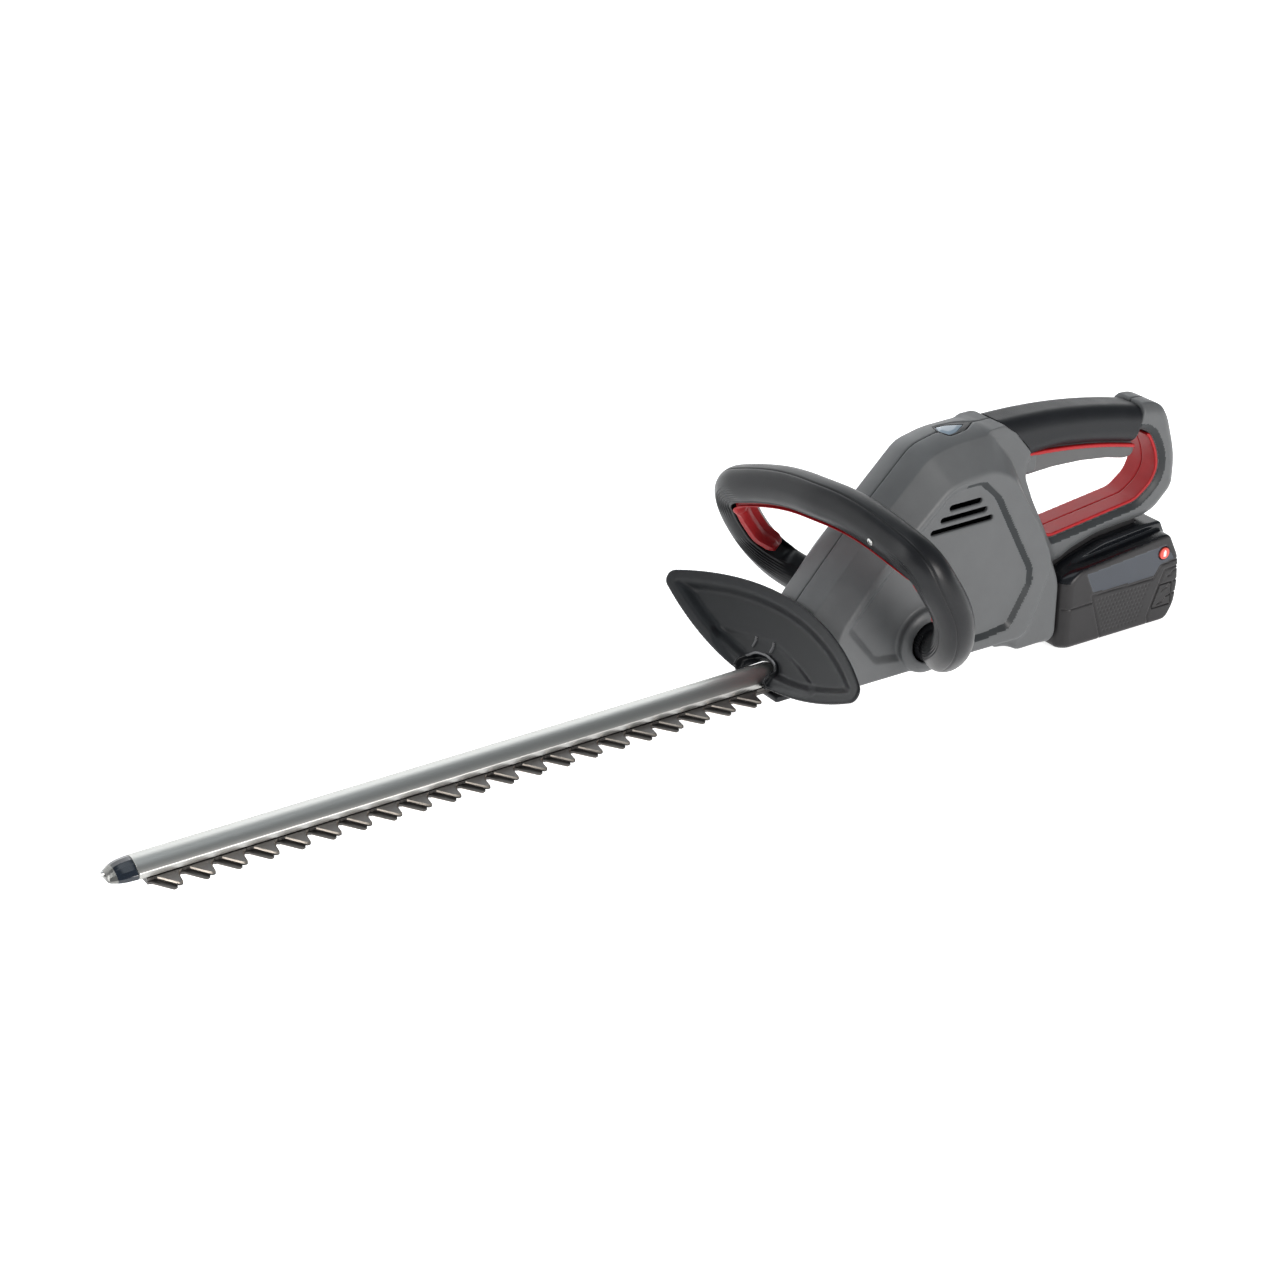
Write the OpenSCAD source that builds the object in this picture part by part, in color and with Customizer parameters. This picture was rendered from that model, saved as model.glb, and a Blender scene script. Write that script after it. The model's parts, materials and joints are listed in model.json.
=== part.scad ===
// Cordless hedge trimmer: single-sided reciprocating blade, wide hand guard, front loop handle with a
// safety bail, D-shaped rear handle with a long trigger, and a slide-on battery pack.
// Axes: the blade points to -X, +Z is up, -Y is the operator's left. Z = 0 is the floor under the battery.

/* [Blade] */
// Distance between two neighbouring teeth
tooth_pitch = 23; // [22:0.5:24]
// Number of teeth along the cutting edge
tooth_count = 21; // [19:1:21]
// Half width of the blade, from the middle to a tooth's tip
tooth_reach = 30; // [28:1:32]
// Thickness of each blade
blade_t = 2.2; // [2:0.1:2.4]
// Travel of each blade to either side of the middle
blade_travel = 4; // [3:0.5:5]
// Width of the arched aluminium rail
rail_w = 26; // [24:1:28]
// Top of the rail above the blade plane
rail_top = 14.2; // [13:0.2:15]

/* [Body] */
// Half width of the motor housing
body_half = 39; // [37:1:41]
// Half width of the flat strip along the housing's front slope and top
strip_half = 21; // [18:1:23]
// Wall thickness of the housing shells
wall = 3; // [2.5:0.5:3]
// Height of the blade plane above the floor
blade_height = 33; // [33:1:36]

/* [Handles] */
// Radius of the front handle's tube
tube_r = 15.5; // [14:0.5:16]
// Half width of the rear grip
grip_half = 19; // [18:1:20]
// Height of the rear grip's section
grip_h = 31; // [30:1:32]

/* [Battery] */
// Half width of the battery pack
pack_half = 38; // [37:1:39]
// Radius of one battery cell
cell_r = 9.2; // [9:0.1:9.2]

/* [Hidden] */
$fn = 64;

// Clearances: between still neighbours, and round anything that moves
still_gap = 0.15;
move_gap = 0.4;

// Overall reach along X, measured from the first tooth's tip
nose_x = -43;
rear_x = 874;
mid_x = (nose_x + rear_x) / 2;

// Blade stack, measured from the blade plane
upper_z = 1.2;
lower_z = upper_z - blade_t - 0.3;
rail_z = upper_z + blade_t + 0.4;
blade_x0 = -17;
yoke_x = 545;
bolt_xs = [46, 161, 276, 391, 460];
bolt_r = 2.5;

// Gear train: the drive gear turns two opposed cams, and the motor stands beside it
gear_module = 1.25;
gear_teeth = 48;
pinion_teeth = 16;
gear_r = gear_module * gear_teeth / 2;
pinion_r = gear_module * pinion_teeth / 2;
motor_x = yoke_x + gear_r + pinion_r;
axle_r = 4;
run_fit = 0.05;
cam_r = 9.5;
cam_throw = 4;
hub_r = 6;
shaft_r = 2.5;
motor_r = 25;
motor_z0 = 31;
motor_z1 = 92;
gear_z0 = 14;
gear_z1 = 22;

// Front handle: the point where its tube meets the housing
hub_x = 607;
hub_z = 18;
hub_y = 44;
tube_wall = 2.6;
bail_r = 4;
bail_depth = 14;
groove_r = 8.5;
// The loop leans a little towards the operator's left hand
loop_skew = 0.068;
// Half of the loop's centre line, from the middle of the bar down to the hub; the last value fades the skew
LOOP = [
  [532, 0, 139, 1], [533, 30, 138, 1], [534, 58, 133.5, 1], [533, 83, 126, 1],
  [534, 104, 119, 1], [540, 112, 102.5, 1], [552, 115, 87, 1], [562, 116, 68, 0.9],
  [570, 107.5, 49.5, 0.7], [579, 92, 36, 0.5], [592, 71, 24, 0.2], [607, 54, 18, 0]
];

// Rear grip: it follows a large arc, with its centre far below the handle
arc_x = 695.6;
arc_z = -397.3;
arc_r = 565;
grip_a0 = 0.9;
grip_a1 = 14.2;

// Battery pack
pack_x0 = 745.5;
pack_x1 = 868;
pack_z0 = -33;
pack_split_z = 4;

// Side outline of the housing at the strip, and at its widest part
BODY_MID = [
  [508, -13], [508, 56], [613, 161], [640, 166.5], [676, 167.5], [700, 140], [724, 84],
  [736, 56], [736, 44], [728, 10], [722, -19], [560, -15]
];
BODY_WIDE = [
  [522, -4], [523, 40], [558, 82], [621, 136], [662, 140], [683, 138], [716, 84], [728, 58],
  [729, 46], [720, 22], [706, -6]
];
// Rear column, which carries the battery dock and the D-shaped handle
COLUMN_MID = [
  [690, -20], [728, -20], [733, -28], [744, -28], [744, 40], [740, 64], [716, 136],
  [690, 167.5], [672, 167]
];
COLUMN_WIDE = [[700, -20], [742.5, -20], [742.5, 30], [728, 60], [702, 60]];
// D-shaped handle outline, and the hand opening inside it
HANDLE_D = [
  [690, 168], [700, 120], [718, 60], [744, 36], [758, 38], [768, 43.5], [796, 51.5], [842, 54],
  [856, 58], [871, 72], [874, 78], [874, 98], [871, 112], [863, 136], [856, 147], [845, 152.5],
  [832, 153]
];
OPENING = [
  [714, 134], [711, 121], [719, 101], [739, 63], [746, 60.5], [834, 70.5], [850, 82],
  [856, 95], [853, 110], [845, 125], [837, 131], [780, 140], [740, 142]
];

// Air slots in each side of the housing: first X, last X, Z
VENTS = [[626, 657, 120], [618, 662.5, 111.7], [609, 668.5, 103.5]];
vent_half = 2;
// Screws that hold the two shells together: X, Z
SCREW_SPOTS = [[712, -12], [730, 30], [862, 84], [858, 120], [800, 60.5]];
screw_r = 1.5;

// Trigger hinge: X, Z
trigger_pivot = [722, 130];
pin_r = 2;

// Hand guard: a leaf-shaped face that leans back, bent so that its tips point forward
guard_lean = 35;
guard_half = 124;
guard_rise = 66;
guard_bend_r = 537;
guard_post_y = 26;
guard_post_z = 34;

// Dock rail under the rear handle, and the cells of the pack
dock_z0 = 29.5;
dock_stem = 13;
dock_flange = 16;
CONTACTS = [-9, -3, 3, 9];
cell_x0 = 762;
cell_step = 19.4;

shell_grey = [0.33, 0.33, 0.33];
black = [0.07, 0.07, 0.08];
red = [0.62, 0.1, 0.12];
steel = [0.55, 0.55, 0.55];
copper = [0.72, 0.45, 0.25];
board_green = [0.1, 0.35, 0.2];

// ---------------------------------------------------------------- helpers

// Moves a shape from the blade datum to the part's own origin
module datum() {
  translate([-mid_x, 0, blade_height]) children();
}

// A side outline (X, Z), extruded from y0 to y1
module side(y0, y1) {
  translate([0, y1, 0]) rotate([90, 0, 0]) linear_extrude(y1 - y0) children();
}

module block(low, high) {
  translate(low) cube(high - low);
}

module post(x, y, z0, z1, r) {
  translate([x, y, z0]) cylinder(r = r, h = z1 - z0);
}

// A cylinder along Y
module cross(x, z, y0, y1, r) {
  translate([x, y1, z]) rotate([90, 0, 0]) cylinder(r = r, h = y1 - y0);
}

// A cylinder along X
module along_blade(y, z, x0, x1, r) {
  translate([x0, y, z]) rotate([0, 90, 0]) cylinder(r = r, h = x1 - x0);
}

// A section (radius, Y) swept along the rear grip's arc, from angle a0 to a1
module along_grip(a0, a1) {
  translate([arc_x, 0, arc_z]) rotate([90, 0, 0]) rotate([0, 0, 90 - a1])
    rotate_extrude(angle = a1 - a0, $fn = 180) children();
}

// A rod with round bends along a list of points
module chain(points, r, sides) {
  for (i = [0 : len(points) - 2]) hull() {
    translate(points[i]) sphere(r = r, $fn = sides);
    translate(points[i + 1]) sphere(r = r, $fn = sides);
  }
}

function skewed(p, side) = let (y = side * p[1], shift = p[3] * loop_skew * y) [p[0] - shift, y, p[2] - shift];
function loop_half(side) = [for (p = LOOP) skewed(p, side)];
function reversed(list) = [for (i = [len(list) - 1 : -1 : 0]) list[i]];
function loop_points() = concat(
  [[hub_x, -hub_y, hub_z]], reversed(loop_half(-1)),
  [for (i = [1 : len(LOOP) - 1]) loop_half(1)[i]], [[hub_x, hub_y, hub_z]]
);
// Direction towards the inside of the loop, in the plane of the bar and the arm
function inward(points, i) = let (
  t = points[i + 1] - points[i - 1],
  n = [0, t[2], -t[1]]
) n / norm(n);
function inner_points(depth, first, last) = let (pts = loop_points())
  [for (i = [first : last]) pts[i] + depth * inward(pts, i)];

// Straight-sided spur gear with a little backlash; turn sets the first tooth's angle
module gear(teeth, turn, height) {
  r = gear_module * teeth / 2;
  tip_r = r + 0.8 * gear_module;
  root_r = r - 1.3 * gear_module;
  pitch_half = 0.2 * PI * gear_module;
  rotate(turn) union() {
    cylinder(r = root_r, h = height);
    for (i = [0 : teeth - 1]) rotate(i * 360 / teeth) linear_extrude(height)
      polygon([
        [root_r - 1, -pitch_half - 0.6], [root_r, -pitch_half - 0.55], [tip_r, 0.4 - pitch_half],
        [tip_r, pitch_half - 0.4], [root_r, pitch_half + 0.55], [root_r - 1, pitch_half + 0.6]
      ]);
  }
}

// ---------------------------------------------------------------- housing

module body_solid(grow) {
  hull() {
    side(-strip_half - grow, strip_half + grow) offset(delta = grow) polygon(BODY_MID);
    side(-body_half - grow, body_half + grow) offset(delta = grow) polygon(BODY_WIDE);
  }
}

module column_solid(grow) {
  hull() {
    side(-strip_half - grow, strip_half + grow) offset(delta = grow) polygon(COLUMN_MID);
    side(-34 - grow, 34 + grow) offset(delta = grow) polygon(COLUMN_WIDE);
  }
}

// U-shaped channel under the soft grip, open below for the trigger
module grip_core() {
  along_grip(0, grip_a1 + 0.6) difference() {
    translate([arc_r - grip_h + 4, -grip_half + 3.6]) square([grip_h - 8, 2 * grip_half - 7.2]);
    translate([0, -grip_half + 7]) square([arc_r - 8, 2 * grip_half - 14]);
  }
}

module housing_solid() {
  difference() {
    union() {
      body_solid(0);
      column_solid(0);
      side(-grip_half, grip_half) polygon(HANDLE_D);
      for (s = [-1, 1]) cross(hub_x, hub_z, s > 0 ? 36 : -hub_y, s > 0 ? hub_y : -36, 26);
    }
    body_solid(-wall);
    column_solid(-wall);
    side(-60, 60) polygon(OPENING);
    along_grip(grip_a0, grip_a1) translate([arc_r - grip_h - still_gap, -60]) square([120, 120]);
    // mouth for the rail and the blades
    block([500, -23, -9.8], [530, 23, 17]);
    // sockets for the front handle's ends
    for (s = [-1, 1]) cross(hub_x, hub_z, s > 0 ? 30 : -50, s > 0 ? 50 : -30, tube_r + 0.3);
    // room for the trigger's front end
    block([705, -10.5, 108], [745, 10.5, 158]);
    // slot for the lens
    block([639, -10.2, 150], [672, 10.2, 172]);
    vents();
  }
  grip_core();
  trigger_ears();
}

// Ears under the grip that hold the trigger's pin
module trigger_ears() {
  difference() {
    for (s = [-1, 1]) block([717, s > 0 ? 10.9 : -14.5, 125], [727, s > 0 ? 14.5 : -10.9, 146]);
    cross(trigger_pivot[0], trigger_pivot[1], -20, 20, pin_r + 0.02);
  }
}

module vents() {
  for (v = VENTS, s = [-1, 1])
    block([v[0], s > 0 ? 30 : -60, v[2] - vent_half], [v[1], s > 0 ? 60 : -30, v[2] + vent_half]);
}

module housing_half(s) {
  difference() {
    intersection() {
      housing_solid();
      block([480, s > 0 ? 0.05 : -60, -60], [900, s > 0 ? 60 : -0.05, 200]);
    }
    for (p = SCREW_SPOTS) cross(p[0], p[1], -60, 60, screw_r + 0.2);
  }
}

module housing_screws() color(steel) datum() {
  for (p = SCREW_SPOTS) cross(p[0], p[1], 4, 17, screw_r);
}

module housing_left() color(shell_grey) datum() housing_half(-1);

module housing_right() color(shell_grey) datum() housing_half(1);

// ---------------------------------------------------------------- rear handle

module liner(s) {
  intersection() {
    difference() {
      side(s > 0 ? 0.1 : -16.5, s > 0 ? 16.5 : -0.1) offset(delta = -still_gap) polygon(OPENING);
      side(-60, 60) offset(delta = -2.6) polygon(OPENING);
      block([700, -11, 100], [842, 11, 150]);
      along_grip(grip_a0 - 1, grip_a1 + 0.9) translate([arc_r - grip_h - 0.3, -40]) square([80, 80]);
    }
    union() {
      block([744, -20, 50], [870, 20, 112]);
      block([728, -20, 110], [870, 20, 131]);
    }
  }
}

module liner_left() color(red) datum() liner(-1);

module liner_right() color(red) datum() liner(1);

module rounded_box_2d(x0, y0, x1, y1, r) {
  union() {
    translate([x0 + r, y0]) square([x1 - x0 - 2 * r, y1 - y0]);
    translate([x0, y0 + r]) square([x1 - x0, y1 - y0 - 2 * r]);
    for (x = [x0 + r, x1 - r], y = [y0 + r, y1 - r]) translate([x, y]) circle(r = r);
  }
}

module grip_sleeve() color(black) datum() difference() {
  along_grip(grip_a0 + 0.05, grip_a1 - 0.05) difference() {
    rounded_box_2d(arc_r - grip_h, -grip_half, arc_r, grip_half, 11);
    translate([arc_r - grip_h + 3.7, -grip_half + 3.3]) square([grip_h - 7.4, 2 * grip_half - 6.6]);
    translate([arc_r - grip_h - 1, -10.5]) square([12, 21]);
  }
  // room for the trigger's ears
  block([700, -15, 130], [728, 15, 142]);
}

module trigger() color(shell_grey) datum() difference() {
  side(-9.6, 9.6) polygon([
    [715, 120], [722, 115.5], [750, 116.5], [779, 115], [805, 111.5], [824, 107], [831, 107.5],
    [834, 111], [834, 117], [824, 125.5], [780, 133], [726, 139], [716, 136]
  ]);
  cross(trigger_pivot[0], trigger_pivot[1], -20, 20, pin_r + run_fit);
  cross(trigger_pivot[0], trigger_pivot[1], -4, 4, 5);
  block([714, -4, 118], [730, 4, 145]);
}

module trigger_pin() color(steel) datum() {
  cross(trigger_pivot[0], trigger_pivot[1], -14, 14, pin_r);
}

// Wound spring round the trigger's pin, with one leg lying under the grip's channel
module trigger_spring() color(steel) datum() {
  translate([trigger_pivot[0], 3, trigger_pivot[1]]) rotate([90, 0, 0]) difference() {
    cylinder(r = 3.8, h = 6);
    translate([0, 0, -1]) cylinder(r = 2.6, h = 8);
  }
  leg_x = trigger_pivot[0] + 2.8;
  block([leg_x, -3, trigger_pivot[1]], [leg_x + 1, -2, trigger_pivot[1] + 14]);
}

module main_switch() color(black) datum() {
  block([732, -9, 143], [756, 9, 152]);
  post(738, 0, 141.6, 143, 2);
}

// ---------------------------------------------------------------- lamp

module led_lens() color([0.8, 0.85, 0.9]) datum() {
  side(-10, 10) polygon([[639.3, 163], [671.7, 163.8], [671.7, 167], [641, 166.2]]);
}

module led_board() color(board_green) datum() {
  block([643, -8, 156], [668, 8, 157.6]);
  post(655, 0, 157.6, 160.5, 2.5);
}

// ---------------------------------------------------------------- guard

module guard_leaf(inset) {
  low_r = (guard_half * guard_half + 34 * 34) / 68;
  intersection() {
    translate([0, low_r - 1]) circle(r = low_r - inset, $fn = 180);
    translate([0, guard_rise - low_r]) circle(r = low_r - inset, $fn = 180);
    translate([-guard_half + 2 + inset, -5]) square([2 * (guard_half - 2 - inset), guard_rise + 10]);
  }
}

// Places a shape drawn with X across, Y up the guard's face and Z out of its front
module on_guard() {
  translate([469, 0, 9]) rotate([0, guard_lean, 0]) rotate([90, 0, -90]) children();
}

// A slice of the bent face, from depth a (behind) to depth b (in front)
module guard_slice(a, b, inset) {
  intersection() {
    translate([0, 0, -30]) linear_extrude(80) guard_leaf(inset);
    translate([0, 0, guard_bend_r - 4]) rotate([-90, 0, 0]) translate([0, 0, -20]) difference() {
      cylinder(r = guard_bend_r - a, h = 120, $fn = 180);
      translate([0, 0, -1]) cylinder(r = guard_bend_r - b, h = 122, $fn = 180);
    }
  }
}

module hand_guard() color(black) datum() difference() {
  union() {
    on_guard() {
      guard_slice(-3, 0, 0);
      difference() {
        guard_slice(-0.01, 6, 0);
        guard_slice(-0.02, 7, 7);
      }
    }
    for (s = [-1, 1]) along_blade(s * guard_post_y, guard_post_z, 490, 516, 5);
  }
  body_solid(still_gap);
  block([440, -17, -20], [500, 17, 17]);
  for (s = [-1, 1]) {
    along_blade(s * guard_post_y, guard_post_z, 470, 530, 2.2);
    along_blade(s * guard_post_y, guard_post_z, 470, 488.3, 4.4);
  }
}

module guard_screws() color(steel) datum() {
  for (s = [-1, 1]) {
    along_blade(s * guard_post_y, guard_post_z, 486, 510, 2);
    along_blade(s * guard_post_y, guard_post_z, 485, 488, 4);
  }
}

// ---------------------------------------------------------------- front handle

module tube_shell() {
  pts = loop_points();
  last = len(pts) - 2;
  difference() {
    chain(pts, tube_r, 24);
    difference() {
      chain(pts, tube_r - tube_wall, 12);
      chain(inner_points(bail_depth, 3, last - 2), groove_r + tube_wall, 12);
    }
    chain(inner_points(bail_depth, 3, last - 2), groove_r, 12);
    chain(inner_points(bail_depth + 10, 3, last - 2), groove_r, 12);
    for (s = [-1, 1]) cross(hub_x, hub_z, s > 0 ? 20 : -40, s > 0 ? 40 : -20, 2.7);
  }
}

// Space in front of the seam, which runs round the loop in the middle of the tube
module front_of_seam(gap) {
  bar = [for (i = [0 : 6]) [LOOP[i][0] - gap, LOOP[i][1]]];
  arm = [for (i = [6 : len(LOOP) - 1]) [LOOP[i][0] - gap, LOOP[i][1]]];
  upper = concat([[400, 0]], bar, [[552, 160], [400, 160]]);
  lower = concat([[400, 40], [hub_x - gap, 40]], reversed(arm), [[552, 160], [400, 160]]);
  for (s = [-1, 1]) {
    translate([0, 0, 90]) linear_extrude(100) polygon(leaned(upper, s, loop_skew));
    translate([0, 0, -20]) linear_extrude(110) polygon(leaned(lower, s, 0.6 * loop_skew));
  }
}

// One side's outline (X, Y), sheared with the loop; its far front edge stays where it is
function leaned(outline, side, skew) = [
  for (p = outline) [p[0] > 401 ? p[0] - side * skew * p[1] : p[0], side * p[1]]
];

module handle_front() color(black) datum() intersection() {
  tube_shell();
  front_of_seam(0.1);
}

module handle_rear() color(black) datum() difference() {
  tube_shell();
  front_of_seam(-0.1);
}

module handle_screws() color(steel) datum() {
  for (s = [-1, 1]) {
    cross(hub_x, hub_z, s > 0 ? 24 : -40, s > 0 ? 40 : -24, 2.5);
    cross(hub_x, hub_z, s > 0 ? 24 : -28.2, s > 0 ? 28.2 : -24, 4.5);
  }
}

module bail_lever() color(red) datum() {
  last = len(loop_points()) - 2;
  chain(inner_points(bail_depth, 4, last - 3), bail_r, 16);
}

module bail_spring() color(steel) datum() {
  block([534, -47, 131.3], [540, -41, 131.8]);
}

module bail_switch() color(black) datum() {
  block([527, 8, 140], [539, 26, 147]);
}

// ---------------------------------------------------------------- drive

module motor_can() color(steel) datum() difference() {
  post(motor_x, 0, motor_z0, motor_z1, motor_r);
  post(motor_x, 0, motor_z0 + 2, motor_z1 - 2, motor_r - 2);
  post(motor_x, 0, motor_z0 - 1, motor_z1 + 1, shaft_r + run_fit);
}

module motor_rotor() color(copper) datum() {
  post(motor_x, 0, 12, motor_z1 + 14, shaft_r);
  post(motor_x, 0, 38, 78, 19);
  post(motor_x, 0, 78, 86, 9);
}

module motor_fan() color(black) datum() difference() {
  union() {
    post(motor_x, 0, motor_z1 + 3, motor_z1 + 4.5, 18);
    post(motor_x, 0, motor_z1 + 3, motor_z1 + 10, 6);
    for (i = [0 : 7]) translate([motor_x, 0, 0]) rotate(i * 45)
      block([5, -0.8, motor_z1 + 4], [17.5, 0.8, motor_z1 + 10]);
  }
  post(motor_x, 0, 0, 200, shaft_r + 0.02);
}

module pinion() color(steel) datum() translate([motor_x, 0, gear_z0 - 1]) difference() {
  gear(pinion_teeth, 0, gear_z1 - gear_z0 + 2);
  post(0, 0, -1, 20, shaft_r + 0.02);
}

module drive_gear() color(steel) datum() difference() {
  union() {
    translate([yoke_x, 0, gear_z0]) gear(gear_teeth, 180 / gear_teeth, gear_z1 - gear_z0);
    post(yoke_x, 0, lower_z - 0.1, gear_z1 + 2, hub_r);
  }
  post(yoke_x, 0, -20, 60, axle_r + run_fit);
}

module cam(z0, offset_x) {
  difference() {
    post(yoke_x + offset_x, 0, z0 - 0.1, z0 + blade_t + 0.1, cam_r + 1.5);
    post(yoke_x, 0, -20, 60, hub_r + 0.02);
  }
}

module cam_upper() color(steel) datum() cam(upper_z, cam_throw);

module cam_lower() color(steel) datum() cam(lower_z, -cam_throw);

module gear_axle() color(steel) datum() post(yoke_x, 0, -6, 28, axle_r);

module gear_case() color(steel) datum() difference() {
  union() {
    post(yoke_x, 0, 10, 30.5, gear_r + 3.6);
    post(motor_x, 0, 10, 30.5, pinion_r + 8);
  }
  post(yoke_x, 0, 5, 26, gear_r + 2.4);
  post(motor_x, 0, 5, 26, pinion_r + 3);
  post(yoke_x, 0, 5, 40, axle_r + 0.02);
  post(motor_x, 0, 5, 40, 4);
  block([500, -23, 5], [530, 23, 16.5]);
}

module gear_base() color([0.25, 0.28, 0.26]) datum() difference() {
  union() {
    block([474, -30, -8.5], [506, 30, -2.4]);
    block([500, -19, -8.5], [585, 19, -2.4]);
  }
  post(yoke_x, 0, -20, 10, axle_r + 0.02);
}

// ---------------------------------------------------------------- blade

module rail() color([0.78, 0.78, 0.78]) datum() {
  rotate([90, 0, 90]) translate([0, 0, -21.5]) linear_extrude(518) difference() {
    intersection() {
      translate([-rail_w / 2, rail_z]) square([rail_w, 20]);
      translate([0, rail_top - 16]) circle(r = 16, $fn = 120);
    }
    intersection() {
      translate([-rail_w / 2 + 2, rail_z - 1]) square([rail_w - 4, 20]);
      translate([0, rail_top - 16]) circle(r = 14, $fn = 120);
    }
  }
}

module guide_bar() color(steel) datum() difference() {
  block([-19, -9.5, rail_z - 0.05], [497, 9.5, rail_z + 2]);
  for (x = bolt_xs) post(x, 0, 0, 20, bolt_r + still_gap);
}

module blade_bolts() color(steel) datum() for (x = bolt_xs) {
  post(x, 0, -3.3, rail_z + 6, bolt_r);
  post(x, 0, -3.3, lower_z - 0.35, 4.5);
}

module blade_nuts() color(steel) datum() for (x = bolt_xs) difference() {
  translate([x, 0, rail_z + 2.1]) cylinder(r = 5, h = 3.4, $fn = 6);
  post(x, 0, 0, 20, bolt_r + 0.05);
}

// One tooth seen from above, mirrored to the -Y side of the blade: a long leading slope, a narrow tip and
// a hooked root behind it
TOOTH = [
  [-13, 13], [9, 13], [7, 15.6], [4.4, 17.2], [3.2, 20], [2.2, tooth_reach - 2.4],
  [1.5, tooth_reach - 0.6], [0, tooth_reach], [-1.4, tooth_reach - 0.3], [-2.6, tooth_reach - 1.6],
  [-10.5, 15.3]
];

// A slot along X, rounded at both ends
module slot(x, half, r, z0, z1) {
  post(x - half, 0, z0, z1, r);
  post(x + half, 0, z0, z1, r);
  block([x - half, -r, z0], [x + half, r, z1]);
}

module blade(z, shift) {
  yoke_r = cam_throw + cam_r + 2;
  top = z + blade_t;
  difference() {
    union() {
      block([blade_x0, -15, z], [blade_x0 + (tooth_count - 1) * tooth_pitch + 40, 15, top]);
      block([480, -12, z], [528, 12, top]);
      slot(yoke_x, blade_travel, yoke_r + 5, z, top);
      for (i = [0 : tooth_count - 1]) translate([i * tooth_pitch + shift, 0, z])
        linear_extrude(blade_t) polygon(reversed([for (p = TOOTH) [p[0], -p[1]]]));
    }
    // the yoke clears the cam at every position of both
    slot(yoke_x, blade_travel, yoke_r, z - 1, top + 1);
    for (x = bolt_xs) slot(x, blade_travel + 0.2, bolt_r + move_gap, z - 1, top + 1);
  }
}

module upper_blade() color([0.4, 0.4, 0.41]) datum() blade(upper_z, 0);

module lower_blade() color([0.4, 0.4, 0.41]) datum() blade(lower_z, -4);

module nose_cap() color([0.05, 0.08, 0.12]) datum() difference() {
  union() {
    intersection() {
      translate([-22, 0, rail_top - 16]) rotate([0, -90, 0]) cylinder(r1 = 16, r2 = 10, h = 19);
      block([-41, -13, rail_z], [-21.8, 13, 16]);
      post(-24, 0, 0, 20, 16.5);
    }
    block([-30, -9, rail_z + 2.5], [-10, 9, rail_z + 4.5]);
  }
  block([-60, -9.8, 0], [-17, 9.8, rail_z + 2.15]);
}

module nose_rivet() color(steel) datum() {
  translate([nose_x, 0, rail_z + 4.4]) rotate([0, 90, 0]) cylinder(r = 2, h = 1.8);
}

// ---------------------------------------------------------------- electrics in the body

module control_board() color(board_green) datum() {
  block([630, -14, 20], [632, 30, 80]);
  for (z = [32, 52]) block([632, -8, z], [642, 8, z + 12]);
}

// ---------------------------------------------------------------- battery dock and pack

module dock() color(black) datum() {
  block([750, -dock_flange, dock_z0], [838, dock_flange, dock_z0 + 3]);
  side(-dock_stem, dock_stem) polygon([
    [750, dock_z0 + 2], [838, dock_z0 + 2], [838, 53.4], [797, 51], [768.5, 43],
    [758.5, 37.5], [750, 36.4]
  ]);
}

module dock_contacts() color(copper) datum() {
  for (y = CONTACTS) block([752, y - 0.5, dock_z0 - 6], [766, y + 0.5, dock_z0 - still_gap]);
}

// Outline of the pack from the side, up to its sloping shoulders
PACK_SIDE = [
  [pack_x0, pack_z0 + 3], [pack_x0 + 8, pack_z0], [pack_x1 - 8, pack_z0], [pack_x1, pack_z0 + 14],
  [pack_x1, 22], [pack_x1 - 13, 45], [762, 36], [754, 33], [pack_x0, 28]
];

module pack_solid(grow) {
  hull() {
    side(-pack_half - grow, pack_half + grow) offset(delta = grow) polygon([
      [752, -29], [pack_x1 - 10, -31], [pack_x1, -16], [pack_x1, 22], [pack_x1 - 13, 43],
      [760, 34], [753, 28]
    ]);
    side(-30 - grow, 30 + grow) offset(delta = grow) polygon(PACK_SIDE);
  }
}

// Raised middle of the pack, which slides along the dock
module pack_saddle() {
  side(-24, 24) polygon([
    [754, 30], [754, 33], [768, 39.5], [796, 47.2], [840, 50.5], [858, 50.5], [862, 38], [862, 30]
  ]);
}

module dock_channel() {
  block([740, -dock_flange - move_gap, dock_z0 - 0.4], [839, dock_flange + move_gap, dock_z0 + 3.4]);
  block([740, -dock_stem - move_gap, dock_z0 - 0.4], [839, dock_stem + move_gap, 60]);
  block([740, -11, dock_z0 - 8], [770, 11, dock_z0 + 2]);
  // slots for the terminals
  for (y = CONTACTS) block([755, y - 2.4, 18], [769, y + 2.4, dock_z0]);
}

module pack_shell() {
  difference() {
    union() {
      pack_solid(0);
      pack_saddle();
    }
    dock_channel();
    intersection() {
      pack_solid(-2.5);
      block([700, -60, -60], [900, 60, 19]);
    }
    release_recess();
    cross(850, 29, -60, -pack_half + 4, 5 + move_gap);
  }
}

module release_recess() {
  for (s = [-1, 1]) block([840, s > 0 ? 31 : -60, -19], [862, s > 0 ? 60 : -31, 2]);
}

module pack_top() color(black) datum() intersection() {
  pack_shell();
  block([700, -60, pack_split_z + 0.1], [900, 60, 100]);
}

module pack_bottom() color(black) datum() intersection() {
  pack_shell();
  block([700, -60, -60], [900, 60, pack_split_z - 0.1]);
}

module each_cell() {
  for (i = [0 : 4], z = [-19.5, 0]) translate([cell_x0 + i * cell_step, 0, z]) children();
}

module pack_cells() color([0.2, 0.35, 0.5]) datum() each_cell() cross(0, 0, -27, 27, cell_r);

module cell_holder() color([0.15, 0.15, 0.15]) datum() for (y = [-25, 23]) difference() {
  block([cell_x0 - 12, y, -29.5], [cell_x0 + 4 * cell_step + 5, y + 2, 11]);
  each_cell() cross(0, 0, -40, 40, cell_r + 0.2);
}

module pack_board() color(board_green) datum() block([758, -25, 12.5], [846, 25, 14]);

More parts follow.
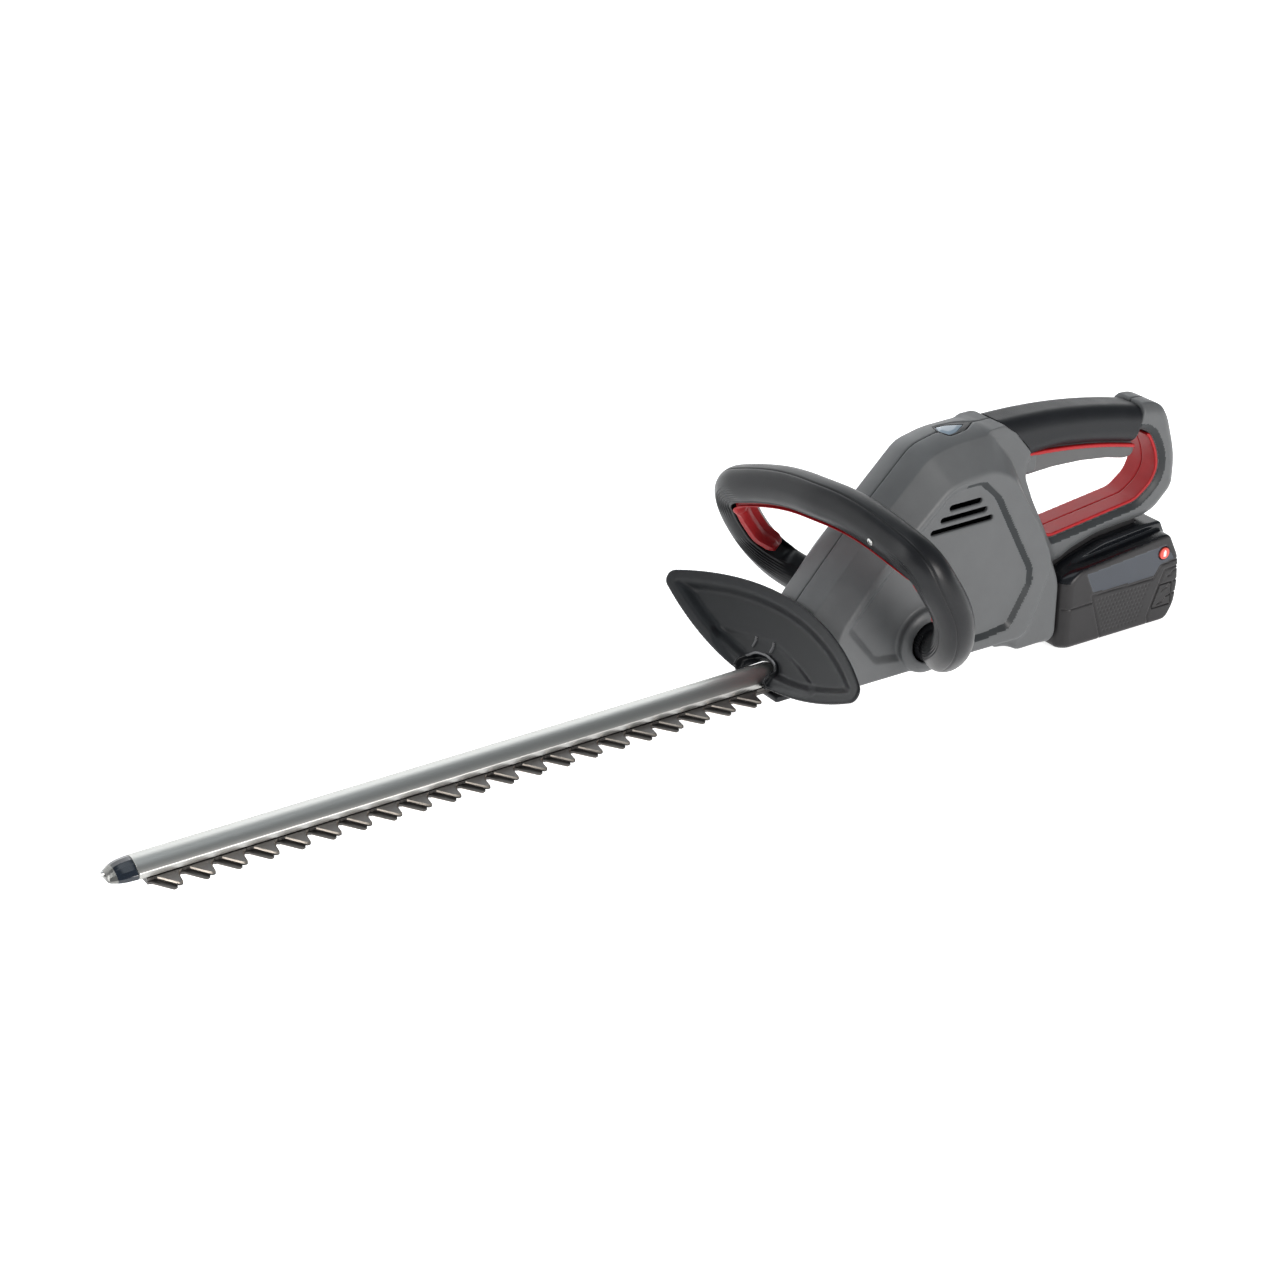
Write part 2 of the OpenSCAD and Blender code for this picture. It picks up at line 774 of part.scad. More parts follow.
module pack_terminals() color(copper) datum() {
  for (y = CONTACTS, s = [-1, 1])
    block([756, y + s * 1.6 - 0.4, 14.2], [768, y + s * 1.6 + 0.4, dock_z0 - 2]);
}

module charge_button() color(red) datum() cross(850, 29, -pack_half - 0.8, -pack_half + 2, 5);

module release_button(s) {
  difference() {
    block([841, s > 0 ? 34.8 : -pack_half - 0.6, -18], [861, s > 0 ? pack_half + 0.6 : -34.8, 1]);
    for (z = [-12, -6, 0])
      block([846, s > 0 ? pack_half - 0.4 : -60, z - 3], [870, s > 0 ? 60 : -pack_half + 0.4, z - 1.5]);
  }
}

module release_left() color(black) datum() release_button(-1);

module release_right() color(black) datum() release_button(1);

module release_springs() color(steel) datum() {
  for (s = [-1, 1]) cross(851, -8, s > 0 ? 31.1 : -32, s > 0 ? 32 : -31.1, 3);
}

// ---------------------------------------------------------------- assembly

housing_left();
housing_right();
housing_screws();
liner_left();
liner_right();
grip_sleeve();
led_lens();
led_board();
hand_guard();
guard_screws();
handle_front();
handle_rear();
handle_screws();
bail_switch();
bail_spring();
bail_lever();
trigger();
trigger_pin();
trigger_spring();
main_switch();
control_board();
motor_can();
motor_rotor();
motor_fan();
pinion();
drive_gear();
cam_upper();
cam_lower();
gear_axle();
gear_case();
gear_base();
rail();
guide_bar();
upper_blade();
lower_blade();
blade_bolts();
blade_nuts();
nose_cap();
nose_rivet();
dock();
dock_contacts();
pack_top();
pack_bottom();
pack_cells();
cell_holder();
pack_board();
pack_terminals();
charge_button();
release_left();
release_right();
release_springs();
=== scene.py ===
import json
import math

import bpy
import numpy as np
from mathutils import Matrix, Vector


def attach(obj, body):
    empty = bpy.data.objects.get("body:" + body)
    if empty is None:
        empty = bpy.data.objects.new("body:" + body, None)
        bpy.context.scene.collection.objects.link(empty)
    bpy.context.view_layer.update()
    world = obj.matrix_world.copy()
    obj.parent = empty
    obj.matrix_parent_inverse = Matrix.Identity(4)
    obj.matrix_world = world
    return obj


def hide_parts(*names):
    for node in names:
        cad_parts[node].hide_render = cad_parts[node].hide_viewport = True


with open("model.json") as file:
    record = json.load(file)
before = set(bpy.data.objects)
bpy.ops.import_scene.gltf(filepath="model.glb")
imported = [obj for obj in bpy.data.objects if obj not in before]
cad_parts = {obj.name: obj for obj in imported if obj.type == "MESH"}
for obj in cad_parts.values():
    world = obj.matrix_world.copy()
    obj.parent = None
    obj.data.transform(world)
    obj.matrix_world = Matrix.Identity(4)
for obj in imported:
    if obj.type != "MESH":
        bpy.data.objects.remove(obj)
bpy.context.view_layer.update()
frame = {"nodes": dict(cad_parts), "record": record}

# The blade datum in the frame, and the side of a distance field's cell, in mm
MID_X = 415.5
BLADE_HEIGHT = 33.0
STEP = 1.0


# ---------------------------------------------------------------- frame

def placed(points):
    p = np.array(points, float).reshape(-1, 3)
    return (p + [-MID_X, 0.0, BLADE_HEIGHT]) / 1000.0


def piece(name, points, faces, materials, body, replaces=(), indices=None, smooth=True):
    """A mesh object from datum millimetres, riding on a body. faces is an (n, 4) array or a list."""
    mesh = bpy.data.meshes.new(name)
    co = placed(points)
    if isinstance(faces, np.ndarray):
        count = len(faces)
        mesh.vertices.add(len(co))
        mesh.vertices.foreach_set("co", co.astype(np.float32).ravel())
        mesh.loops.add(count * 4)
        mesh.loops.foreach_set("vertex_index", faces.astype(np.int32).ravel())
        mesh.polygons.add(count)
        mesh.polygons.foreach_set("loop_start", np.arange(0, count * 4, 4, dtype=np.int32))
        mesh.update(calc_edges=True)
    else:
        mesh.from_pydata([tuple(c) for c in co], [], [list(f) for f in faces])
    for m in materials:
        mesh.materials.append(m)
    if indices is not None:
        mesh.polygons.foreach_set("material_index", np.asarray(indices, np.int32))
    mesh.polygons.foreach_set("use_smooth", np.full(len(mesh.polygons), smooth))
    mesh.validate()
    mesh.update()
    obj = bpy.data.objects.new(name, mesh)
    bpy.context.scene.collection.objects.link(obj)
    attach(obj, body)
    if replaces:
        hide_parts(*replaces)
    return obj


# ---------------------------------------------------------------- distance fields

def grid(low, high, step):
    shape = ((-1, 1, 1), (1, -1, 1), (1, 1, -1))
    return [np.arange(low[i], high[i] + step, step, dtype=np.float32).reshape(shape[i]) for i in range(3)]


def smin(a, b, k):
    h = np.clip(0.5 + 0.5 * (b - a) / k, 0, 1)
    return b * (1 - h) + a * h - k * h * (1 - h)


def smax(a, b, k):
    return -smin(-a, -b, k)


def ramp(t):
    t = np.clip(t, 0, 1)
    return t * t * (3 - 2 * t)


def rounded(points, reach):
    """A closed outline with its corners rounded; reach is how far along each side the round starts."""
    out = []
    n = len(points)
    for i in range(n):
        p = np.array(points[i], float)
        a = np.array(points[i - 1], float) - p
        b = np.array(points[(i + 1) % n], float) - p
        la, lb = np.linalg.norm(a), np.linalg.norm(b)
        r = min(reach, 0.45 * la, 0.45 * lb)
        start, end = p + a / la * r, p + b / lb * r
        for t in (0.0, 0.2, 0.4, 0.6, 0.8, 1.0):
            out.append((1 - t) ** 2 * start + 2 * t * (1 - t) * p + t * t * end)
    return out


def outline(points, u, v, reach=0.0):
    """Signed distance to a closed outline, negative inside."""
    pts = rounded(points, reach) if reach else [np.array(p, float) for p in points]
    best = None
    inside = None
    for a, b in zip(pts, pts[1:] + pts[:1]):
        e = b - a
        if abs(e[0]) + abs(e[1]) < 1e-6:
            continue
        wx, wy = u - a[0], v - a[1]
        t = np.clip((wx * e[0] + wy * e[1]) / (e[0] ** 2 + e[1] ** 2), 0, 1)
        d = (wx - e[0] * t) ** 2 + (wy - e[1] * t) ** 2
        best = d if best is None else np.minimum(best, d)
        if e[1] != 0:
            crosses = ((a[1] > v) != (b[1] > v)) & (u < e[0] * (v - a[1]) / e[1] + a[0])
            inside = crosses if inside is None else inside ^ crosses
    return np.where(inside, -np.sqrt(best), np.sqrt(best))


def strokes(lines, u, v):
    """Distance to the nearest of some open polylines."""
    best = np.float32(1e9)
    for pts in lines:
        for a, b in zip(pts, pts[1:]):
            ex, ey = b[0] - a[0], b[1] - a[1]
            wx, wy = u - a[0], v - a[1]
            t = np.clip((wx * ex + wy * ey) / (ex * ex + ey * ey), 0, 1)
            best = np.minimum(best, (wx - ex * t) ** 2 + (wy - ey * t) ** 2)
    return np.sqrt(best)


def box_field(x, y, z, low, high, k=0.6):
    mid = [(a + b) / 2 for a, b in zip(low, high)]
    half = [(b - a) / 2 for a, b in zip(low, high)]
    d = smax(np.abs(x - mid[0]) - half[0], np.abs(z - mid[2]) - half[2], k)
    return smax(d, np.abs(y - mid[1]) - half[1], k)


def net(field, low, step):
    """The zero surface of a field as points and quads: one point in each cell that the surface crosses."""
    inside = field < 0
    corners = [(i, j, k) for i in (0, 1) for j in (0, 1) for k in (0, 1)]
    s = [n - 1 for n in field.shape]
    total = sum(inside[i:i + s[0], j:j + s[1], k:k + s[2]].astype(np.int8) for i, j, k in corners)
    cells = np.argwhere((total > 0) & (total < 8))
    index = np.full(s, -1, np.int32)
    index[tuple(cells.T)] = np.arange(len(cells))
    at = {c: field[tuple((cells + c).T)] for c in corners}
    place = np.zeros((len(cells), 3), np.float32)
    hits = np.zeros(len(cells), np.float32)
    for c in corners:
        for axis in range(3):
            if c[axis]:
                continue
            d = tuple(1 if i == axis else c[i] for i in range(3))
            va, vb = at[c], at[d]
            crosses = (va < 0) != (vb < 0)
            t = np.where(crosses, va / np.where(crosses, va - vb, 1), 0)
            spot = np.zeros((len(cells), 3), np.float32) + np.array(c, np.float32)
            spot[:, axis] = t
            place += np.where(crosses[:, None], spot, 0)
            hits += crosses
    points = np.array(low, np.float32) + step * (cells + place / hits[:, None])
    quads = []
    for axis in range(3):
        u, v = (axis + 1) % 3, (axis + 2) % 3
        first = [slice(None)] * 3
        second = [slice(None)] * 3
        first[axis], second[axis] = slice(0, -1), slice(1, None)
        a, b = inside[tuple(first)], inside[tuple(second)]
        edge = np.argwhere(a != b)
        edge = edge[(edge[:, u] > 0) & (edge[:, v] > 0) & (edge[:, u] < s[u]) & (edge[:, v] < s[v])]
        outward = a[tuple(edge.T)]
        ring = []
        for du, dv in ((1, 1), (0, 1), (0, 0), (1, 0)):
            c = edge.copy()
            c[:, u] -= du
            c[:, v] -= dv
            ring.append(index[tuple(c.T)])
        q = np.stack(ring, 1)
        q[~outward] = q[~outward][:, ::-1]
        quads.append(q)
    return points, np.concatenate(quads)


# ---------------------------------------------------------------- materials

def node(tree, kind, **values):
    n = tree.nodes.new(kind)
    for key, value in values.items():
        if isinstance(value, (int, float, tuple)) and key in n.inputs:
            n.inputs[key].default_value = value
        else:
            setattr(n, key, value)
    return n


def surface(name, colour, rough, metallic=0.0, spread=0.12, patch=60.0, grain=2600.0, grain_depth=0.00003,
            rough_spread=0.08, wear=0.0, wear_colour=(0.5, 0.5, 0.5), coat=0.0, stretch=None, specular=0.5,
            glow=0.0):
    """A material with colour patches, a fine grain in the bump, uneven roughness and worn edges."""
    m = bpy.data.materials.new(name)
    m.use_nodes = True
    t = m.node_tree
    t.nodes.clear()
    out = node(t, "ShaderNodeOutputMaterial")
    bsdf = node(t, "ShaderNodeBsdfPrincipled")
    bsdf.inputs["Metallic"].default_value = metallic
    bsdf.inputs["Specular IOR Level"].default_value = specular
    bsdf.inputs["Coat Weight"].default_value = coat
    bsdf.inputs["Coat Roughness"].default_value = 0.15
    bsdf.inputs["Emission Color"].default_value = (1.0, 1.0, 1.0, 1.0)
    bsdf.inputs["Emission Strength"].default_value = glow
    t.links.new(bsdf.outputs[0], out.inputs[0])
    where = node(t, "ShaderNodeTexCoord")
    source = where.outputs["Object"]
    if stretch:
        mapping = node(t, "ShaderNodeMapping")
        mapping.inputs["Scale"].default_value = stretch
        t.links.new(source, mapping.inputs["Vector"])
        source = mapping.outputs["Vector"]
    clouds = node(t, "ShaderNodeTexNoise")
    clouds.inputs["Scale"].default_value = patch
    clouds.inputs["Detail"].default_value = 6.0
    t.links.new(source, clouds.inputs["Vector"])
    fine = node(t, "ShaderNodeTexNoise")
    fine.inputs["Scale"].default_value = grain
    fine.inputs["Detail"].default_value = 3.0
    t.links.new(source, fine.inputs["Vector"])
    tint = node(t, "ShaderNodeValToRGB")
    low = tuple(max(0.0, c * (1 - spread)) for c in colour) + (1.0,)
    high = tuple(min(1.0, c * (1 + spread)) for c in colour) + (1.0,)
    tint.color_ramp.elements[0].position = 0.3
    tint.color_ramp.elements[1].position = 0.7
    tint.color_ramp.elements[0].color = low
    tint.color_ramp.elements[1].color = high
    t.links.new(clouds.outputs["Fac"], tint.inputs["Fac"])
    colour_out = tint.outputs["Color"]
    if wear:
        geometry = node(t, "ShaderNodeNewGeometry")
        sharp = node(t, "ShaderNodeMapRange")
        sharp.inputs["From Min"].default_value = 0.52
        sharp.inputs["From Max"].default_value = 0.62
        sharp.inputs["To Max"].default_value = wear
        t.links.new(geometry.outputs["Pointiness"], sharp.inputs["Value"])
        broken = node(t, "ShaderNodeMath", operation="MULTIPLY")
        t.links.new(sharp.outputs[0], broken.inputs[0])
        t.links.new(clouds.outputs["Fac"], broken.inputs[1])
        mix = node(t, "ShaderNodeMix", data_type="RGBA")
        t.links.new(broken.outputs[0], mix.inputs["Factor"])
        t.links.new(colour_out, mix.inputs["A"])
        mix.inputs["B"].default_value = tuple(wear_colour) + (1.0,)
        colour_out = [o for o in mix.outputs if o.type == "RGBA"][0]
    t.links.new(colour_out, bsdf.inputs["Base Color"])
    gloss = node(t, "ShaderNodeMapRange")
    gloss.inputs["To Min"].default_value = max(0.02, rough - rough_spread)
    gloss.inputs["To Max"].default_value = min(1.0, rough + rough_spread)
    t.links.new(clouds.outputs["Fac"], gloss.inputs["Value"])
    t.links.new(gloss.outputs[0], bsdf.inputs["Roughness"])
    bump = node(t, "ShaderNodeBump")
    bump.inputs["Strength"].default_value = 1.0
    bump.inputs["Distance"].default_value = grain_depth
    t.links.new(fine.outputs["Fac"], bump.inputs["Height"])
    t.links.new(bump.outputs["Normal"], bsdf.inputs["Normal"])
    return m


SHELL = surface("shell_grey", (0.092, 0.096, 0.099), 0.44, specular=0.36, spread=0.05, wear=0.25,
                wear_colour=(0.24, 0.25, 0.26), grain_depth=0.00002)
# A darker copy of the shell grey: painted shade for the chamfer inside the handle opening and the rear step of
# the side panel's recess.
SHELL_PAINTED_SHADE = surface("shell_painted_shade", (0.020, 0.023, 0.025), 0.4, specular=0.28, spread=0.08)
HANDLE = surface("handle_black", (0.0075, 0.008, 0.0095), 0.36, specular=0.28, spread=0.15, wear=0.2,
                 wear_colour=(0.06, 0.06, 0.065))
GUARD = surface("guard_black", (0.0065, 0.0075, 0.009), 0.38, specular=0.28, spread=0.15, wear=0.25,
                wear_colour=(0.07, 0.07, 0.075))
# A lighter grey: painted highlight along the guard's arch lip and on its raised ribs.
GUARD_PAINTED_HIGHLIGHT = surface("guard_painted_highlight", (0.10, 0.10, 0.105), 0.34, spread=0.1)
RUBBER = surface("grip_rubber", (0.008, 0.009, 0.011), 0.44, specular=0.28, spread=0.12,
                 grain=3200.0, grain_depth=0.00005)
RED = surface("red_plastic", (0.33, 0.008, 0.011), 0.40, specular=0.3, spread=0.08, wear=0.2,
              wear_colour=(0.6, 0.12, 0.12))
TRIGGER = surface("trigger_grey", (0.070, 0.071, 0.072), 0.38, spread=0.08)
PACK = surface("pack_black", (0.020, 0.019, 0.020), 0.36, specular=0.28, spread=0.12, wear=0.25,
               wear_colour=(0.1, 0.1, 0.1))
PACK_GLOSS = surface("pack_gloss", (0.004, 0.005, 0.007), 0.18, spread=0.12, grain_depth=0.00001)
LABEL = surface("label_slate", (0.032, 0.038, 0.050), 0.42, spread=0.06)
ICON = surface("icon_pale", (0.7, 0.66, 0.64), 0.4, spread=0.05)
CORAL = surface("icon_red", (0.62, 0.07, 0.05), 0.4, spread=0.06)
ALUMINIUM = surface("brushed_aluminium", (0.42, 0.42, 0.405), 0.36, metallic=1.0, spread=0.06, patch=40.0,
                    grain=900.0, grain_depth=0.00002, stretch=(0.04, 1.0, 1.0), rough_spread=0.06)
BLADE = surface("blade_steel", (0.085, 0.080, 0.076), 0.38, metallic=0.8, spread=0.18, patch=90.0,
                grain=1500.0, grain_depth=0.00003, stretch=(0.2, 1.0, 1.0))
GROUND = surface("ground_edge", (0.50, 0.44, 0.38), 0.32, metallic=1.0, spread=0.15, patch=120.0,
                 grain=1500.0, grain_depth=0.00003)
STEEL = surface("bright_steel", (0.55, 0.55, 0.54), 0.28, metallic=1.0, spread=0.08)
BRASS = surface("brass_plate", (0.50, 0.40, 0.26), 0.32, metallic=1.0, spread=0.1)
COPPER = surface("copper", (0.55, 0.30, 0.17), 0.35, metallic=1.0, spread=0.1)
CAP = surface("cap_navy", (0.006, 0.011, 0.020), 0.14, spread=0.1, coat=0.4, grain_depth=0.00001)
CAP_FACET = surface("cap_facet", (0.22, 0.22, 0.21), 0.22, metallic=0.7, spread=0.1)
BOARD = surface("board_green", (0.02, 0.10, 0.05), 0.35, spread=0.2)
CELL = surface("cell_sleeve", (0.03, 0.08, 0.16), 0.25, spread=0.1)
LENS = surface("lens_clear", (0.20, 0.26, 0.32), 0.22, spread=0.05, coat=0.4)
DARK = surface("inner_black", (0.012, 0.012, 0.013), 0.55, spread=0.2)


# ---------------------------------------------------------------- outlines, as in the design

BODY_MID = [(508, -13), (508.5, 57), (560, 112), (613.5, 162), (639, 167.5), (676, 168.3), (700, 140),
            (724, 84), (736, 56), (736, 44), (728, 10), (722, -19), (560, -15)]
BODY_WIDE = [(522, -4), (523, 40), (558, 82), (621, 136), (637, 141), (664, 143), (684, 134), (716, 84),
             (728, 58), (729, 46), (720, 22), (706, -6)]
COLUMN_MID = [(690, -20), (728, -20), (733, -28), (744, -28), (744.5, 40), (740, 64), (716, 136),
              (690, 167.5), (672, 167)]
COLUMN_WIDE = [(700, -20), (742.5, -20), (742.5, 30), (728, 60), (702, 60)]
HANDLE_D = [(690, 168), (700, 120), (718, 60), (744, 36), (758, 38), (768, 43.5), (796, 51.5),
            (842, 54), (856, 58), (871, 72), (874, 78), (874, 98), (871, 112), (863, 136),
            (856, 147), (845, 152.5), (832, 153)]
OPENING = [(714, 134), (711, 121), (719, 101), (739, 63), (746, 60.5), (834, 70.5), (850, 82),
           (856, 95), (853, 110), (845, 125), (837, 131), (780, 140), (740, 142)]
PANEL = [(656, 138), (673, 122), (710, 53), (711, 39), (691, 5), (666, 2), (593, 5), (558, 10),
         (531, 44.5), (567, 82.5), (595, 109), (623, 134), (634, 138)]
VENTS = [(626, 657, 120.0), (618, 662.5, 111.7), (609, 668.5, 103.5)]
ARC_X, ARC_Z, ARC_R = 695.6, -397.3, 565.0
HUB_X, HUB_Z = 607.0, 18.0
GRIP_UNDERSIDE = 532.4
# Front edge of the soft grip from the side: X at a height Z
GRIP_FRONT = [(125.0, 714.0), (133.8, 716.5), (142.3, 715.3), (148.1, 710.5), (151.9, 705.9),
              (155.8, 699.3), (159.8, 696.4), (163.7, 693.8), (167.5, 690.0), (172.0, 686.0)]


def grip_fields(x, v, z):
    """The soft grip: its rounded section, swept along a large arc, and its curved front and rear edges."""
    dx, dz = x - ARC_X, z - ARC_Z
    r = np.hypot(dx, dz)
    turn = np.degrees(np.arctan2(dx, dz))
    half = 15.4 + 2.2 * ramp((6.5 - turn) / 6)
    qr = np.abs(r - (ARC_R - half)) - (half - 12.0)
    qv = np.abs(v) - 7.0
    section = np.hypot(np.maximum(qr, 0), np.maximum(qv, 0)) + np.minimum(np.maximum(qr, qv), 0) - 12.0
    front = np.interp(z, [p[0] for p in GRIP_FRONT], [p[1] for p in GRIP_FRONT]) - x
    rear = (turn - 14.15) * ARC_R * math.pi / 180
    return section, smax(front, rear, 0.5), r, turn


def grip_floor(r):
    """Depth above the underside of the grip."""
    return r - GRIP_UNDERSIDE


def housing_field(x, v, z):
    """One half of the shell; v is the distance from the parting plane."""
    t = np.clip((v - 21) / 18, 0, 1)
    crown = 3.6 * np.clip(v / 21, 0, 1.0) ** 2 * (1 - t)
    panel = outline(PANEL, x, z, 5)
    sunk = 3.2 * np.clip(-panel / 5.2, 0, 1)
    mid = outline(BODY_MID, x, z, 8)
    body = mid * (1 - t) + outline(BODY_WIDE, x, z, 10) * t + crown
    body = smax(body, v - (39 - sunk), 1.6)
    tc = np.clip((v - 20) / 14, 0, 1)
    column = outline(COLUMN_MID, x, z, 5) * (1 - tc) + outline(COLUMN_WIDE, x, z, 8) * tc
    column = smax(column, v - 34, 3)
    edge = outline(HANDLE_D, x, z, 7)
    hole = outline(OPENING, x, z, 6)
    half = 19.0 - 5.0 * (1 - np.clip(-edge / 9, 0, 1)) ** 2
    half = np.minimum(half, 16.2 + 2.8 * np.clip((hole - 0.3) / 5.0, 0, 1))
    handle = smax(edge, v - half, 1.2)
    solid = smin(body, column, 4)
    solid = smin(solid, handle, 7)
    hub = np.hypot(x - HUB_X, z - HUB_Z)
    boss = smax(hub - 26.0, v - 44.0 + np.clip((hub - 22) / 2, 0, 2), 1.2)
    solid = smin(solid, boss, 2.5)
    solid = smax(solid, -smax(hub - 16.6, 30 - v, 0.4), 0.8)
    solid = smax(solid, -hole, 0.8)
    _, ends, r, _ = grip_fields(x, v, z)
    grip_room = smax(smax(ends - 0.35, 532.8 - r, 0.3), v - 19.7, 0.3)
    solid = smax(solid, -grip_room, 0.4)
    cavity = np.maximum(np.maximum(body + 3.0, x - 696), 4.0 - np.minimum(hole, grip_room))
    slots = np.float32(1e9)
    for x0, x1, height in VENTS:
        along = np.clip(x, x0 + 2, x1 - 2)
        slots = np.minimum(slots, np.hypot(x - along, z - height) - 2.2)
    solid = smax(solid, -smax(slots, 30 - v, 0.3), 0.8)
    solid = np.maximum(solid, -cavity)
    mouth = box_field(x, v, z, (490, -23, -9.8), (530, 23, 17))
    solid = smax(solid, -mouth, 0.6)
    lamp = outline([(638.6, 0), (643, 11), (660, 9), (673, 0), (660, -9), (643, -11)], x, v, 2)
    solid = smax(solid, -smax(lamp, 163.6 - z, 0.3), 0.4)
    solid = smax(solid, -box_field(x, v, z, (713, -10.6, 110), (748, 10.6, 141)), 0.4)
    ears = box_field(x, v, z, (700, 10.8, 120.5), (727.5, 14.6, 139), 1.5)
    solid = smin(solid, smax(ears, grip_floor(r), 0.3), 1.0)
    return smax(solid, 0.16 - v, 0.25)


def make_housing():
    low, high = (500.0, -2.0, -31.0), (878.0, 47.0, 172.0)
    x, v, z = grid(low, high, STEP)
    points, quads = net(housing_field(x, v, z), low, STEP)
    centre = points[quads].mean(1)
    hole = outline(OPENING, centre[:, 0], centre[:, 2], 6)
    # Painted shade: the chamfer faces round the handle opening, between the frame and the red liner, take the
    # darker shell material.
    inner = (hole > 0.5) & (hole < 5.6) & (centre[:, 1] > 15.5) & (centre[:, 1] < 19.6)
    panel = outline(PANEL, centre[:, 0], centre[:, 2], 5)
    # Painted shade: the sunk step inside the side panel's edge, on its rear part, also takes the darker shell
    # material.
    panel_step_shade = (panel < -0.6) & (panel > -4.9) & (centre[:, 1] > 34)
    indices = np.where(inner | (panel_step_shade & (centre[:, 0] > 640) & (centre[:, 2] < 136)), 1, 0)
    for side, name in ((-1, "housing_left"), (1, "housing_right")):
        p = points * [1, side, 1]
        q = quads[:, ::-1] if side < 0 else quads
        piece("shell_" + name[8:], p, q, [SHELL, SHELL_PAINTED_SHADE], "body", [name], indices)


def make_grip():
    low, high = (684.0, -21.0, 118.0), (842.0, 21.0, 170.5)
    step = STEP * 0.8
    x, y, z = grid(low, high, step)
    section, ends, r, _ = grip_fields(x, y, z)
    solid = smax(section, ends, 0.9)
    slot = smax(np.abs(y) - 10.7, r - 551.0, 0.5)
    solid = smax(solid, -slot, 0.7)
    points, quads = net(solid, low, step)
    piece("soft_grip", points, quads, [RUBBER], "body", ["grip_sleeve"])


def make_liner():
    low, high = (708.0, -1.0, 56.0), (862.0, 19.0, 144.0)
    step = STEP * 0.8
    x, v, z = grid(low, high, step)
    hole = outline(OPENING, x, z, 6)
    ring = smax(hole + 0.05, -hole - 2.6, 0.4)
    ring = smax(ring, v - 16.3, 0.8)
    _, _, r, turn = grip_fields(x, v, z)
    ring = smax(ring, (z - 126.5) * 0.8 - (x - 842) * 0.2, 0.5)
    strip = smax(np.abs(r - 532.6) - 1.5, v - 14.5, 0.6)
    strip = smax(strip, 718 - x, 0.5)
    strip = smax(strip, (turn - 14.6) * 9.8, 0.5)
    strip = smax(strip, 10.5 - v, 0.3)
    solid = smax(np.minimum(ring, strip), 0.14 - v, 0.2)
    points, quads = net(solid, low, step)
    for side, name in ((-1, "liner_left"), (1, "liner_right")):
        q = quads[:, ::-1] if side < 0 else quads
        piece("red_" + name, points * [1, side, 1], q, [RED], "body", [name])


TRIGGER_UNDERSIDE = [(716, 120), (722, 115.5), (750, 116.5), (779, 115), (805, 111.5), (824, 107),
                     (831, 107.5), (834, 111)]


def make_trigger():
    low, high = (712.0, -11.0, 104.0), (838.0, 11.0, 142.0)
    step = STEP * 0.7
    x, y, z = grid(low, high, step)
    side = outline(TRIGGER_UNDERSIDE + [(834, 117), (824, 125.5), (780, 133), (726, 139), (717, 136)], x, z, 3)
    solid = smax(side, np.abs(y) - 9.6, 2.2)
    wave = 0.5 + 0.5 * np.cos((x - 720) * 2 * math.pi / 4.0)
    rib = 0.35 * wave * np.where(z < 122, 1.0, 0.0) * ramp((9 - np.abs(y)) / 3)
    points, quads = net(solid + rib * (np.abs(x - 775) < 40), low, step)
    centre = points[quads].mean(1)
    below = outline(TRIGGER_UNDERSIDE + [(834, 200), (716, 200)], centre[:, 0], centre[:, 2])
    piece("trigger_lever", points, quads, [TRIGGER, RED], "trigger_arm", ["trigger"],
          (below > -0.5).astype(int))


# ---------------------------------------------------------------- hand guard

# The guard's own axes: u across, v up the leaf, w out of it, from a point above the blade datum
GUARD_X, GUARD_Z = 469, 9
GUARD_LEAN = math.radians(35)
GUARD_BEND = 537.0
GUARD_SETBACK = 533.0
ARCH = [(-17, -20), (-17.5, 10), (-12, 16.5), (0, 19), (12, 17.5), (17.5, 12), (17, -20)]
GUARD_RIBS = ((-19.5, 19.5, 28.0), (0.0, 22.5, 31.0))
GUARD_FLOOR = -7.2


